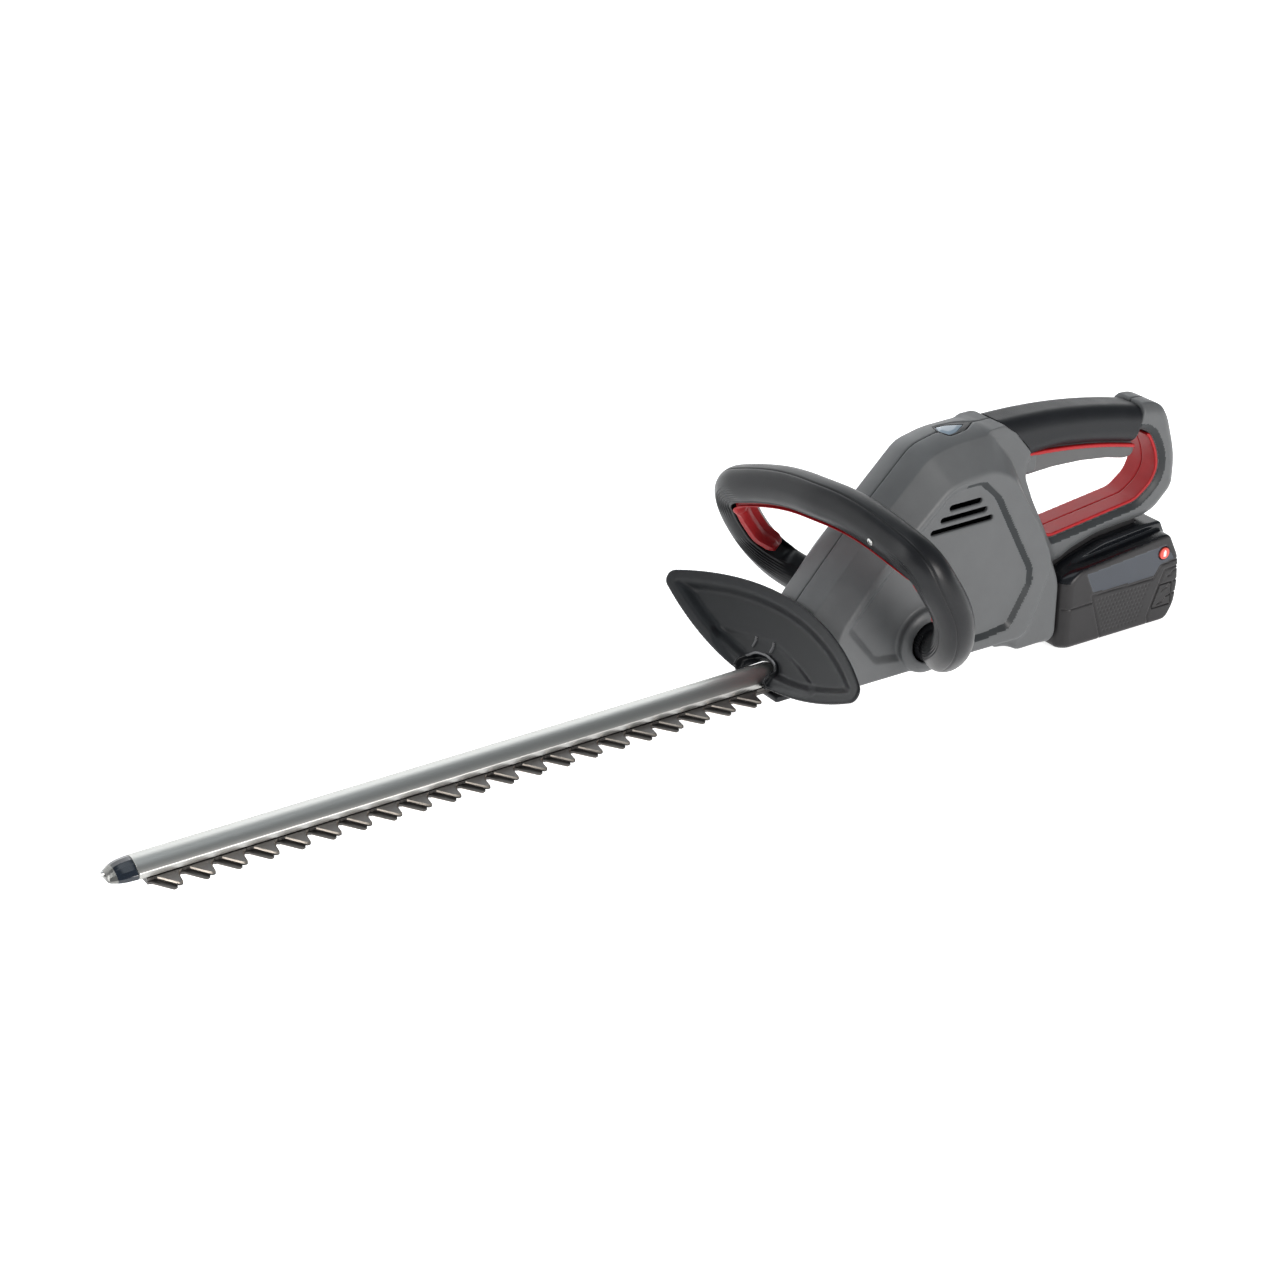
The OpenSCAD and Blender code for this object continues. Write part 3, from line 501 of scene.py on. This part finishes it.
def make_guard():
    low, high = (-127.0, -4.0, -20.0), (127.0, 70.0, 18.0)
    step = STEP * 0.85
    u, v, w = grid(low, high, step)
    reach = (131.0 ** 2 + 34.0 ** 2) / 68.0
    lower = np.hypot(u, v - (reach - 1)) - reach
    upper = np.hypot(u, v - (66 - reach)) - reach
    leaf = smax(smax(lower, upper, 4), np.abs(u) - 121.0, 5)
    bend = w - (GUARD_SETBACK - np.sqrt(GUARD_BEND ** 2 - np.minimum(u * u, 16000)))
    dish = 1.8 - 6.8 * ramp((-leaf - 6.5) / 9)
    pocket = outline([(-66, 19), (-40, 26), (0, 34), (40, 28), (80, 17), (66, 9), (0, -8), (-50, 6)],
                     u, v, 14)
    dish = dish - 2.2 * ramp(-pocket / 6)
    plate = smax(np.abs(bend - dish) - 1.6, leaf, 1.6)
    arch = outline(ARCH, u, v, 4)
    lip = smax(np.abs(arch - 1.3) - 1.1, np.abs(bend - dish - 2.6) - 2.4, 0.6)
    solid = smin(plate, smax(lip, leaf + 2, 0.5), 0.8)
    for across, low_end, high_end in GUARD_RIBS:
        rib = box_field(u, v, bend - dish, (across - 0.7, low_end, 0), (across + 0.7, high_end, 3.4), 0.4)
        solid = smin(solid, rib, 0.5)
    solid = smax(solid, -arch, 0.5)
    back = smax(smax(np.abs(bend - dish + 2.6) - 1.3, arch - 2.5, 0.5), -1.5 - v, 0.5)
    height = GUARD_Z + v * math.cos(GUARD_LEAN) + w * math.sin(GUARD_LEAN)
    tunnel = smax(np.abs(u) - 13.5, np.hypot(u, height + 1.8) - 16.5, 0.4)
    solid = smax(smin(solid, back, 1.0), -tunnel, 0.3)
    points, quads = net(solid, low, step)
    n = [-math.cos(GUARD_LEAN), math.sin(GUARD_LEAN)]
    up = [math.sin(GUARD_LEAN), math.cos(GUARD_LEAN)]
    world = np.stack([GUARD_X + up[0] * points[:, 1] + n[0] * points[:, 2], -points[:, 0],
                      GUARD_Z + up[1] * points[:, 1] + n[1] * points[:, 2]], 1)
    c = points[quads].mean(1)
    rim = outline(ARCH, c[:, 0], c[:, 1], 4)
    offset = c[:, 2] - (GUARD_SETBACK - np.sqrt(GUARD_BEND ** 2 - c[:, 0] ** 2)) - GUARD_FLOOR
    # Painted highlight: faces along the top of the arch lip and on the raised ribs take the lighter grey guard
    # material.
    light = (rim > 0.3) & (rim < 2.0) & (c[:, 0] < 14) & (c[:, 0] > -26)
    light &= (c[:, 1] > 12) & (offset > 3.4)
    for across, low_end, high_end in GUARD_RIBS:
        light |= (np.abs(c[:, 0] - across) < 0.9) & (c[:, 1] > low_end) & (c[:, 1] < high_end) & (offset > 2.2)
    piece("guard_shield", world, quads, [GUARD, GUARD_PAINTED_HIGHLIGHT], "body",
          ["hand_guard", "guard_screws"], light.astype(int))


def make_gear_plate():
    """The plate that closes the gear case from below and carries the drive gear's axle."""
    low, high = (475.0, -25.0, -10.0), (588.0, 25.0, -1.0)
    step = STEP * 0.7
    x, y, z = grid(low, high, step)
    plate = smin(box_field(x, y, z, (480, -22, -8), (506, 22, -2.6), 2.5),
                 box_field(x, y, z, (500, -18.6, -8.4), (584, 18.6, -2.6), 1.5), 3)
    points, quads = net(plate, low, step)
    piece("gear_plate", points, quads, [GUARD], "body", ["gear_base"])


# ---------------------------------------------------------------- front handle

LOOP = [(532, 0, 138.6, 1), (533, 22, 138, 1), (533.5, 44, 135.6, 1), (533.5, 66, 131.2, 1),
        (533.5, 84, 126.4, 1), (534.5, 99, 121.2, 1), (538.5, 110, 112, 1), (545, 114.2, 98, 1),
        (553.5, 115.6, 83, 1), (561.8, 114.6, 67, .9), (570, 107.5, 50.5, .7), (579, 94, 37, .5),
        (592, 74, 25, .2), (607, 54, 18, 0)]
SKEW = 0.068
LOOP_R = 15.1
# The seam's angle round the tube, from the inward direction; the ribs lie between RIBS_FROM and RIBS_TO
SEAM, RIBS_FROM, RIBS_TO = 152, 40, 100


def loop_path():
    """The loop's centre line, with its tangent, inward and across directions, and the keys it follows."""
    def half(side):
        return [(x - share * SKEW * side * y, side * y, z - share * SKEW * side * y)
                for x, y, z, share in LOOP]
    keys = [(HUB_X, -40, HUB_Z)] + half(-1)[::-1] + half(1)[1:] + [(HUB_X, 40, HUB_Z)]
    keys = np.array(keys, float)
    padded = np.vstack([2 * keys[0] - keys[1], keys, 2 * keys[-1] - keys[-2]])
    out = []
    per = 10
    for i in range(1, len(padded) - 2):
        p0, p1, p2, p3 = padded[i - 1:i + 3]
        for k in range(per):
            t = k / per
            out.append(0.5 * (2 * p1 + (p2 - p0) * t + (2 * p0 - 5 * p1 + 4 * p2 - p3) * t * t
                              + (3 * p1 - p0 - 3 * p2 + p3) * t ** 3))
    out.append(padded[-2])
    path = np.array(out)
    for _ in range(14):
        path[1:-1] = 0.25 * path[:-2] + 0.5 * path[1:-1] + 0.25 * path[2:]
    tangent = np.gradient(path, axis=0)
    tangent /= np.linalg.norm(tangent, axis=1)[:, None]
    inward = np.stack([0 * tangent[:, 0], tangent[:, 2], -tangent[:, 1]], 1)
    inward -= tangent * (inward * tangent).sum(1)[:, None]
    inward /= np.linalg.norm(inward, axis=1)[:, None]
    across = np.cross(tangent, inward)
    return path, tangent, inward, across, keys


def sweep(path, inward, across, sections):
    """Joins one ring of (inward, across) offsets at each station into a tube."""
    n = len(sections[0])
    points = []
    for i in range(len(path)):
        s = np.asarray(sections[i])
        points.append(path[i] + s[:, :1] * inward[i] + s[:, 1:] * across[i])
    points = np.concatenate(points)
    faces = []
    for i in range(len(path) - 1):
        a = i * n
        for j in range(n):
            k = (j + 1) % n
            faces.append((a + j, a + k, a + n + k, a + n + j))
    faces.append(tuple(range(n))[::-1])
    faces.append(tuple(range((len(path) - 1) * n, len(path) * n)))
    return points, faces


def make_front_handle():
    path, tangent, inward, across, keys = loop_path()
    turn = np.degrees(np.arccos(np.clip((tangent[:-4] * tangent[4:]).sum(1), -1, 1)))
    turn = np.concatenate([turn[:1], turn[:1], turn, turn[-1:], turn[-1:]])
    corner = ramp((turn - 4) / 5)
    for _ in range(8):
        corner[1:-1] = (corner[:-2] + corner[1:-1] + corner[2:]) / 3
    lever_from = int(np.argmin(np.linalg.norm(path - keys[4], axis=1)))
    lever_to = int(np.argmin(np.linalg.norm(path - keys[-5], axis=1)))
    station = np.arange(len(path))
    groove = ramp((station - lever_from + 9) / 5.0) * ramp((lever_to + 9 - station) / 5.0)
    sections = []
    fine = list(np.arange(float(RIBS_FROM), float(RIBS_TO), 1.6))
    angles = fine + [106, 114, 122, 130, 138, 146, 150.6, 152, 153.4, 160, 170, 180, 190, 200, 210, 220,
                     230, 240, 250, 260, 270, 280, 290, 300, 308, 316, 320]
    for i in range(len(path)):
        ring = []
        g, c = groove[i], corner[i]
        for angle in angles:
            a = math.radians(angle)
            r = LOOP_R
            if abs(angle - SEAM) < 0.8:
                r -= 0.9
            if angle < RIBS_TO:
                wave = 0.5 - 0.5 * math.cos((angle - RIBS_FROM) * 2 * math.pi / 8.0)
                r -= wave * c * min(1, (RIBS_TO - angle) / 12)
            flat = math.exp(-((angle - 112) / 16) ** 2) + math.exp(-((angle - 236) / 18) ** 2)
            r -= 0.5 * flat
            ring.append((r * math.cos(a), r * math.sin(a)))
        lips = [(-9.6, 12.6), (-8.5, 13.1), (-8.15, 12.6), (-7.9, 9.4), (-6.8, 8.2), (0, 8.0), (6.8, 8.2),
                (7.9, 9.4), (8.15, 12.6), (8.5, 13.1), (9.6, 12.6)]
        for b, n in lips:
            plain = math.sqrt(max(LOOP_R ** 2 - b * b, 1))
            ring.append((n * g + plain * (1 - g), b))
        sections.append(ring)
    points, faces = sweep(path, inward, across, sections)
    piece("loop_handle", points, faces, [HANDLE], "body", ["handle_front", "handle_rear"])

    # The red safety lever in the loop's inner groove: thin along the bar, a pad down each arm
    part = slice(lever_from, lever_to + 1)
    p, n, b = path[part], inward[part], across[part]
    stations = np.arange(len(p))
    taper = np.sqrt(np.clip(np.minimum(stations, stations[::-1]) / 5.0, 0.02, 1))
    pad = [(11.8, -4.2), (15.3, -4.3), (15.9, -8.6), (16.4, -9.3), (17.2, -9.0), (17.6, -7.6), (17.7, -3.4),
           (18.6, -2.0), (20.0, -0.8), (20.7, 1.0), (20.8, 4.6), (20.2, 6.6), (18.6, 7.6), (17.2, 8.6),
           (16.4, 8.6), (15.9, 8.2), (15.3, 4.3), (11.8, 4.2)]
    thin = [(11.8, -4.2), (15.2, -4.3), (15.5, -6.4), (15.8, -7.0), (16.2, -6.8), (16.5, -5.6), (16.6, -3.4),
            (16.8, -2.0), (17.0, -0.8), (17.1, 1.0), (17.1, 3.6), (17.0, 5.0), (16.8, 6.0), (16.6, 6.8),
            (16.2, 7.2), (15.8, 6.8), (15.2, 4.3), (11.8, 4.2)]
    outer = np.abs(p[:, 1])
    arm = ramp((118.0 - p[:, 2]) / 9) * ramp((outer - 96) / 6)
    sections = []
    for i in range(len(p)):
        k, g = taper[i], arm[i]
        sections.append([((v * g + v2 * (1 - g) - 14.5) * k + 14.5, (w * g + w2 * (1 - g)) * (0.5 + 0.5 * k))
                         for (v, w), (v2, w2) in zip(pad, thin)])
    points, faces = sweep(p, n, b, sections)
    lever = piece("safety_lever", points, faces, [RED], "bail", ["bail_lever"])
    soften(lever, 0.0006)
    screw("handle_screw", (523.35, -70.6, 131.6), (-0.978, 0.056, -0.20), 2.9, "body")


def soften(obj, width, angle=30, segments=3):
    """Rounds the edges of a piece or a CAD node, and keeps its flat faces flat."""
    bevel = obj.modifiers.new("soft_edges", "BEVEL")
    bevel.width = width
    bevel.segments = segments
    bevel.limit_method = "ANGLE"
    bevel.angle_limit = math.radians(angle)
    bevel.use_clamp_overlap = True
    bevel.harden_normals = False
    normal = obj.modifiers.new("flat_faces", "WEIGHTED_NORMAL")
    normal.keep_sharp = False
    return obj


def turned(axis):
    """The unit axis of a turned piece, and two directions square to it."""
    axis = np.array(axis, float) / np.linalg.norm(axis)
    helper = np.array([0, 0, 1.0]) if abs(axis[2]) < 0.9 else np.array([1.0, 0, 0])
    u = np.cross(axis, helper)
    u /= np.linalg.norm(u)
    v = np.cross(axis, u)
    return axis, u, v


def lathe(name, origin, axis, profile, material, body, replaces=(), sides=48):
    """A turned piece: profile is (distance along the axis, radius) pairs."""
    axis, u, v = turned(axis)
    points, faces = [], []
    for d, r in profile:
        for k in range(sides):
            a = 2 * math.pi * k / sides
            points.append(np.array(origin) + axis * d + r * (math.cos(a) * u + math.sin(a) * v))
    for i in range(len(profile) - 1):
        for k in range(sides):
            j = (k + 1) % sides
            faces.append((i * sides + k, i * sides + j, (i + 1) * sides + j, (i + 1) * sides + k))
    faces.append(tuple(range(sides))[::-1])
    last = (len(profile) - 1) * sides
    faces.append(tuple(range(last, last + sides)))
    return piece(name, points, faces, [material], body, replaces)


def screw(name, origin, axis, size, body):
    """A cross-recess screw head: a domed disc with a four-armed hollow, as one mesh."""
    axis, u, v = turned(axis)
    rings, sides = 9, 48
    points, faces = [], []
    for i in range(rings + 2):
        f = min(i, rings) / rings
        for k in range(sides):
            a = 2 * math.pi * k / sides
            r = size * f
            height = size * 0.32 * math.sqrt(max(1 - (f * 0.93) ** 2, 0))
            arm = abs(math.sin(2 * a)) * r
            if arm < size * 0.26 and f < 0.62:
                height -= size * 0.3
            if i == rings + 1:
                height = -size * 0.4
            points.append(np.array(origin) + axis * height + r * (math.cos(a) * u + math.sin(a) * v))
    for i in range(rings + 1):
        for k in range(sides):
            j = (k + 1) % sides
            faces.append((i * sides + k, i * sides + j, (i + 1) * sides + j, (i + 1) * sides + k))
    return piece(name, points, faces, [STEEL], body, smooth=False)


# ---------------------------------------------------------------- battery pack

PACK_SIDE = [(745.5, -30), (753.5, -33), (860, -33), (867, -20), (868, 22), (855, 45), (762, 36),
             (754, 33), (745.5, 28)]
PACK_FACE = [(752, -29), (858, -31), (866, -18), (868, 0), (866, 22), (855, 44.5), (762, 34.5), (753, 27)]
LABEL_FACE = [(767.5, 31), (852, 36.6), (862.5, 21.6), (848, 19.6), (840.8, 10.4), (776, 12.4)]
TEXTURE = [(777.5, 8.2), (838, 6.2), (827, -25), (789, -26)]
RELEASE = [(848.6, 1), (861, 1), (861, -18), (841, -18)]
PACK_LINES = [[(745, 4.0), (760, 4.0), (776.5, 4.2)], [(775, 10.6), (840.3, 8.9), (847.4, 18.9), (868, 21.0)],
              [(775, 10.6), (789, -34)], [(852.2, 13.8), (837.2, -23.3), (838.8, -34)],
              [(869, 14.4), (852.2, 13.8)],
              [(869, 12.6), (860.9, 10.4), (859.9, 7.8), (855.8, 7.2)],
              [(869, 2.2), (859.4, 0.6), (856.9, -2.2), (851.0, -4.6)],
              [(869, -8.2), (855.2, -10.9), (852.8, -14.3), (846.7, -15.5)]]


def make_pack():
    low, high = (743.0, -40.0, -35.0), (871.0, 40.0, 53.0)
    step = STEP * 0.85
    x, y, z = grid(low, high, step)
    v = np.abs(y)
    t = np.clip((v - 28) / 10, 0, 1) ** 2
    side = outline(PACK_SIDE, x, z, 5) * (1 - t) + outline(PACK_FACE, x, z, 5) * t
    solid = smax(side, v - 38, 2.4)
    saddle = outline([(752, 30), (754, 33), (768, 39.5), (796, 47.2), (840, 50.5), (857, 50.5), (863, 38),
                      (863, 30)], x, z, 3)
    solid = smin(solid, smax(saddle, v - 24, 2.5), 2)
    wall = v - 33
    groove = np.clip(1 - strokes(PACK_LINES, x, z) / 0.9, 0, 1) * (wall > 0)
    label = outline(LABEL_FACE, x, z, 1.5)
    sunk = 0.5 * np.clip(-label / 0.8, 0, 1) * (wall > 0)
    area = outline(TEXTURE, x, z, 1)
    row = np.round((z + 24) / 3.6)
    dx = (x - 760 + 1.9 * (row % 2)) / 3.8
    dimple = np.hypot((dx - np.round(dx)) * 3.8, z + 24 - row * 3.6)
    dots = 0.9 * np.clip(1 - dimple / 1.15, 0, 1) * (area < -0.6) * (wall > 0)
    solid = solid + groove + sunk + dots
    channel = np.minimum(box_field(x, y, z, (730, -16.4, 29.1), (839, 16.4, 32.9)),
                         box_field(x, y, z, (730, -13.4, 29.1), (839, 13.4, 60)))
    channel = np.minimum(channel, box_field(x, y, z, (740, -11, 21.5), (770, 11, 31.5)))
    solid = smax(solid, -channel, 0.4)
    key = np.hypot(x - 850, z - 29) - 5.6
    solid = smax(solid, -smax(key, y + 34.2, 0.2), 0.3)
    for s in (-1, 1):
        recess = smax(outline(RELEASE, x, z, 1.2) - 0.3, 31.8 - y * s, 0.3)
        solid = smax(solid, -recess, 0.3)
    points, quads = net(solid, low, step)
    c = points[quads].mean(1)
    cv = np.abs(c[:, 1])
    label = outline(LABEL_FACE, c[:, 0], c[:, 2], 1.5)
    is_label = (label < -0.5) & (cv > 36)
    slope = (cv < 36.8) & (c[:, 2] > 26) & (c[:, 0] < 866)
    indices = np.where(is_label, 1, np.where(slope, 2, 0))
    piece("pack_case", points, quads, [PACK, LABEL, PACK_GLOSS], "pack", ["pack_top", "pack_bottom"],
          indices)
    for s, name, body in ((-1, "left", "release_l"), (1, "right", "release_r")):
        low, high = (839.0, 33.0, -20.0), (864.0, 40.5, 3.5)
        step = STEP * 0.5
        x, v, z = grid(low, high, step)
        pad = smax(outline(RELEASE, x, z, 1.2), np.abs(v - 36.4) - 1.6, 0.5)
        steps = 0.8 * np.clip(1 - strokes(PACK_LINES[3:], x, z) / 0.8, 0, 1) * (v > 36.5)
        points, quads = net(pad + steps, low, step)
        q = quads[:, ::-1] if s < 0 else quads
        piece("pack_release_" + name, points * [1, s, 1], q, [PACK], body, ["release_" + name])
    lathe("charge_key", (850, -36.2, 29), (0, -1, 0),
          [(0, 4.9), (2.2, 4.95), (2.5, 4.7), (2.6, 4.2), (2.6, 0.3)],
          CORAL, "charge_key", ["charge_button"])
    mark_points = [(848.6, 26.4), (851.4, 26.4), (851.4, 31.0), (850.7, 31.0), (850.7, 32.0), (849.3, 32.0),
                   (849.3, 31.0), (848.6, 31.0)]
    n = len(mark_points)
    points = [(p[0], -38.84, p[1]) for p in mark_points] + [(p[0], -38.7, p[1]) for p in mark_points]
    faces = [tuple(range(n))] + [(i, i + n, (i + 1) % n + n, (i + 1) % n) for i in range(n)]
    piece("charge_mark", points, faces, [ICON], "charge_key", smooth=False)


# ---------------------------------------------------------------- rail, cap and blades

def make_rail():
    """The arched extrusion with a flat crown and drawn lines along it."""
    top, radius, bore = 14.2, 16, 14
    half_out, half_in = math.asin(12.6 / radius), math.asin(10.6 / bore)
    outer = [(-13, 3.8), (-13, 7.4)]
    for k in range(13):
        a = -half_out + 2 * half_out * k / 12
        outer.append((radius * math.sin(a), top - radius + radius * math.cos(a)))
    outer += [(13, 7.4), (13, 3.8)]
    inner = [(11, 3.8), (11, 6.6)]
    for k in range(9):
        a = half_in - 2 * half_in * k / 8
        inner.append((bore * math.sin(a), top - radius + bore * math.cos(a)))
    inner += [(-11, 6.6), (-11, 3.8)]
    ring = outer + inner
    n = len(ring)
    xs = [-21.5, -21.0] + list(np.linspace(-15, 480, 34)) + [496.5]
    points = [(x, y, z) for x in xs for y, z in ring]
    faces = []
    for i in range(len(xs) - 1):
        for j in range(n):
            k = (j + 1) % n
            faces.append((i * n + j, i * n + k, (i + 1) * n + k, (i + 1) * n + j))
    m = len(inner)
    for base, flip in ((0, True), ((len(xs) - 1) * n, False)):
        for j in range(len(outer) - 1):
            b = n - 1 - min(j * (m - 1) // (len(outer) - 1), m - 1)
            b2 = n - 1 - min((j + 1) * (m - 1) // (len(outer) - 1), m - 1)
            f = [base + j, base + j + 1, base + b2, base + b]
            if b2 == b:
                f = f[:3]
            faces.append(tuple(f[::-1] if flip else f))
    obj = piece("arched_rail", points, faces, [ALUMINIUM], "body", ["rail"])
    soften(obj, 0.0003, 50, 2)


def make_cap():
    """Moulded nose: a glossy faceted dome that closes the rail, with bright facets at its front."""
    rings = [(-21.8, 1.0, 1.0, 0), (-24, 0.995, 0.99, 0), (-30, 0.95, 0.93, 0), (-33.5, 0.88, 0.84, 0),
             (-35.2, 0.82, 0.76, 1), (-39.5, 0.62, 0.50, 1), (-40.6, 0.50, 0.40, 1), (-41.0, 0.36, 0.30, 1)]
    base = [(-13, 3.9), (-13, 7.2), (-10.5, 10.3), (-6.5, 12.9), (-2.5, 14.1), (2.5, 14.1), (6.5, 12.9),
            (10.5, 10.3), (13, 7.2), (13, 3.9)]
    points, faces, indices = [], [], []
    n = len(base)
    for x, sy, sz, _ in rings:
        for y, z in base:
            points.append((x, y * sy, 4.2 + (z - 4.2) * sz))
    for i in range(len(rings) - 1):
        for j in range(n):
            k = (j + 1) % n
            faces.append((i * n + k, i * n + j, (i + 1) * n + j, (i + 1) * n + k))
            indices.append(1 if rings[i][3] and rings[i + 1][3] else 0)
    faces.append(tuple(range(n)))
    indices.append(0)
    last = (len(rings) - 1) * n
    faces.append(tuple(range(last, last + n))[::-1])
    indices.append(1)
    obj = piece("nose_dome", points, faces, [CAP, CAP_FACET], "body", ["nose_cap"], indices)
    soften(obj, 0.0007, 14, 3)


TEETH, PITCH, BLADE_THICK = 21, 23.0, 2.2
TOOTH = [(-13, 13), (9.5, 13), (7.4, 14.2), (5.6, 15.8), (4.3, 18.0), (3.2, 21), (2.3, 27.4),
         (1.5, 29.3), (0, 30), (-1.4, 29.7), (-2.6, 28.2), (-10.6, 15.2)]


def make_blades():
    """Two toothed plates; each tooth has a ground bevel round its cutting edge."""
    for name, body, z0, shift, high in (("upper_blade", "blade_high", 1.2, 0.0, True),
                                        ("lower_blade", "blade_low", -1.3, -4.0, False)):
        points, faces, indices = [], [], []

        def add(ring, z_low, z_high, inset):
            """One flat plate; inset is the width of the bevel beyond the rail."""
            n = len(ring)
            base = len(points)
            r = np.array(ring, float)
            nxt, prv = np.roll(r, -1, 0), np.roll(r, 1, 0)
            d = nxt - prv
            normal = np.stack([d[:, 1], -d[:, 0]], 1)
            normal /= np.linalg.norm(normal, axis=1)[:, None]
            area = 0.5 * np.sum(r[:, 0] * nxt[:, 1] - nxt[:, 0] * r[:, 1])
            normal *= 1 if area > 0 else -1
            weight = np.clip((np.abs(r[:, 1]) - 14) / 2, 0, 1)[:, None]
            small = r - normal * inset * weight
            if high:
                levels = [(r, z_low), (r, z_high - 0.9), (small, z_high)]
            else:
                levels = [(small, z_low), (r, z_low + 0.9), (r, z_high)]
            for q, z in levels:
                points.extend((a, b, z) for a, b in q)
            up = area > 0
            for level in range(2):
                ground = (level == 1) if high else (level == 0)
                for i in range(n):
                    j = (i + 1) % n
                    f = (base + level * n + i, base + level * n + j, base + (level + 1) * n + j,
                         base + (level + 1) * n + i)
                    faces.append(f if up else f[::-1])
                    edge = min(weight[i][0], weight[j][0]) > 0
                    indices.append(1 if edge and ground else 0)
            bottom = tuple(range(base, base + n))
            top = tuple(range(base + 2 * n, base + 3 * n))
            faces.append(bottom[::-1] if up else bottom)
            indices.append(0)
            faces.append(top if up else top[::-1])
            indices.append(0)

        for i in range(TEETH):
            add([(x + i * PITCH + shift, -y) for x, y in TOOTH], z0, z0 + BLADE_THICK, 1.0)
        add([(-17, -13.6), (480, -13.6), (490, -12), (521, -12), (526, -17), (533, -20.4), (557, -20.4),
             (565, -12), (567, 0), (565, 12), (557, 20.4), (533, 20.4), (526, 17), (521, 12), (490, 12),
             (480, 13.6), (-17, 13.6)], z0, z0 + BLADE_THICK, 0.0)
        piece("cutting_" + name, points, faces, [BLADE, GROUND], body, [name], indices,
              smooth=False)


# ---------------------------------------------------------------- lamp and small parts

def make_lamp():
    lens = [(640.5, 0), (643.6, 8.4), (651, 7.6), (664, 0), (651, -7.6), (643.6, -8.4)]
    frame_out = [(638.8, 0), (643, 10.8), (658, 9.6), (672.6, 0), (658, -9.6), (643, -10.8)]
    for name, shape, top, dome, material, slot, nodes in (
            ("lamp_frame", frame_out, 167.4, 0.0, HANDLE, "handle_black", ()),
            ("lamp_lens", lens, 168.0, 0.8, LENS, "lens", ("led_lens",))):
        low, high = (636.0, -12.0, 160.0), (675.0, 12.0, 169.2)
        step = STEP * 0.45
        x, y, z = grid(low, high, step)
        d = outline(shape, x, y, 1.5)
        crown = 3.6 * (np.abs(y) / 21) ** 2
        solid = smax(d, z - (top - crown + 0.012 * (x - 655)) + dome * ramp((d + 3) / 3), 0.5)
        solid = smax(solid, 162.0 - z, 0.3)
        if name == "lamp_frame":
            inner = outline(lens, x, y, 1.5)
            solid = smax(solid, -smax(inner - 0.35, 164.5 - z, 0.2), 0.3)
        points, quads = net(solid, low, step)
        piece(name, points, quads, [material], "body", nodes)


def paint_cad():
    """Better finishes for the CAD nodes that stay as they are."""
    finish = {
        "steel": STEEL, "copper": COPPER, "board": BOARD, "pack": DARK, "cells": CELL, "plate": DARK,
        "aluminium": ALUMINIUM, "handle_black": HANDLE, "shell": SHELL, "red": RED, "cap": CAP,
        "blade_steel": BLADE, "grip": RUBBER, "lens": LENS, "trigger_grey": TRIGGER,
    }
    slots = {s["node"]: s["material_slot"] for s in frame["record"]["subparts"]}
    for name, obj in frame["nodes"].items():
        material = finish[slots[name]]
        if name == "guide_bar":
            material = BRASS
        if not obj.material_slots:
            obj.data.materials.append(material)
        for s in obj.material_slots:
            s.material = material
    for name in ("dock", "guide_bar", "nose_rivet"):
        soften(frame["nodes"][name], 0.0005, 40, 2)


# ---------------------------------------------------------------- floor, light and camera

def make_stage():
    size, rise = 6.0, 3.0
    points = []
    profile = [(-size, 0.0), (1.6, 0.0), (2.0, 0.05), (2.35, 0.2), (2.6, 0.5), (2.7, 0.9), (2.7, rise)]
    for a in (-size, size):
        for b, z in profile:
            points.append((a, b, z))
    n = len(profile)
    faces = [(i, i + n, i + n + 1, i + 1) for i in range(n - 1)]
    mesh = bpy.data.meshes.new("floor")
    mesh.from_pydata(points, [], faces)
    mesh.materials.append(surface("floor_white", (0.93, 0.93, 0.93), 0.7, spread=0.004, grain_depth=0.0,
                                  glow=0.82))
    for p in mesh.polygons:
        p.use_smooth = True
    obj = bpy.data.objects.new("floor", mesh)
    bpy.context.scene.collection.objects.link(obj)


def lamp(name, position, target, size, power, colour=(1, 1, 1), size_y=None):
    light = bpy.data.lights.new(name, "AREA")
    light.shape = "RECTANGLE"
    light.size = size
    light.size_y = size_y or size
    light.energy = power
    light.color = colour
    obj = bpy.data.objects.new(name, light)
    bpy.context.scene.collection.objects.link(obj)
    obj.location = position
    obj.rotation_euler = (Vector(target) - Vector(position)).to_track_quat("-Z", "Y").to_euler()


def make_camera():
    data = bpy.data.cameras.new("camera")
    data.lens = 73.125
    data.sensor_width = 36.0
    obj = bpy.data.objects.new("camera", data)
    bpy.context.scene.collection.objects.link(obj)
    obj.location = (-0.950, -1.3976, 0.9285)
    obj.rotation_euler = Vector((0.4877, 0.7504, -0.4460)).to_track_quat("-Z", "Y").to_euler()
    data.clip_end = 30
    bpy.context.scene.camera = obj


def make_light():
    world = bpy.data.worlds.new("studio")
    world.use_nodes = True
    world.node_tree.nodes["Background"].inputs[0].default_value = (0.90, 0.96, 1.0, 1.0)
    world.node_tree.nodes["Background"].inputs[1].default_value = 0.27
    bpy.context.scene.world = world
    lamp("key", (0.3, -2.35, 0.9), (0.15, 0, 0.08), 1.0, 46, (1.0, 0.965, 0.94))
    lamp("top", (-0.3, 0.3, 2.3), (0.05, 0, 0.05), 1.4, 6, (0.88, 0.95, 1.0))
    lamp("back", (0.6, 1.4, 1.3), (0.15, 0, 0.1), 1.4, 5, (0.92, 0.97, 1.0))
    lamp("left_strip", (-1.9, 0.3, 0.9), (0.15, 0, 0.1), 0.45, 12, size_y=1.6)
    bpy.context.scene.view_settings.view_transform = "Standard"
    bpy.context.scene.view_settings.look = "None"


make_camera()
make_light()
make_stage()
paint_cad()
make_housing()
make_grip()
make_liner()
make_trigger()
make_guard()
make_gear_plate()
make_front_handle()
make_pack()
make_rail()
make_cap()
make_blades()
make_lamp()
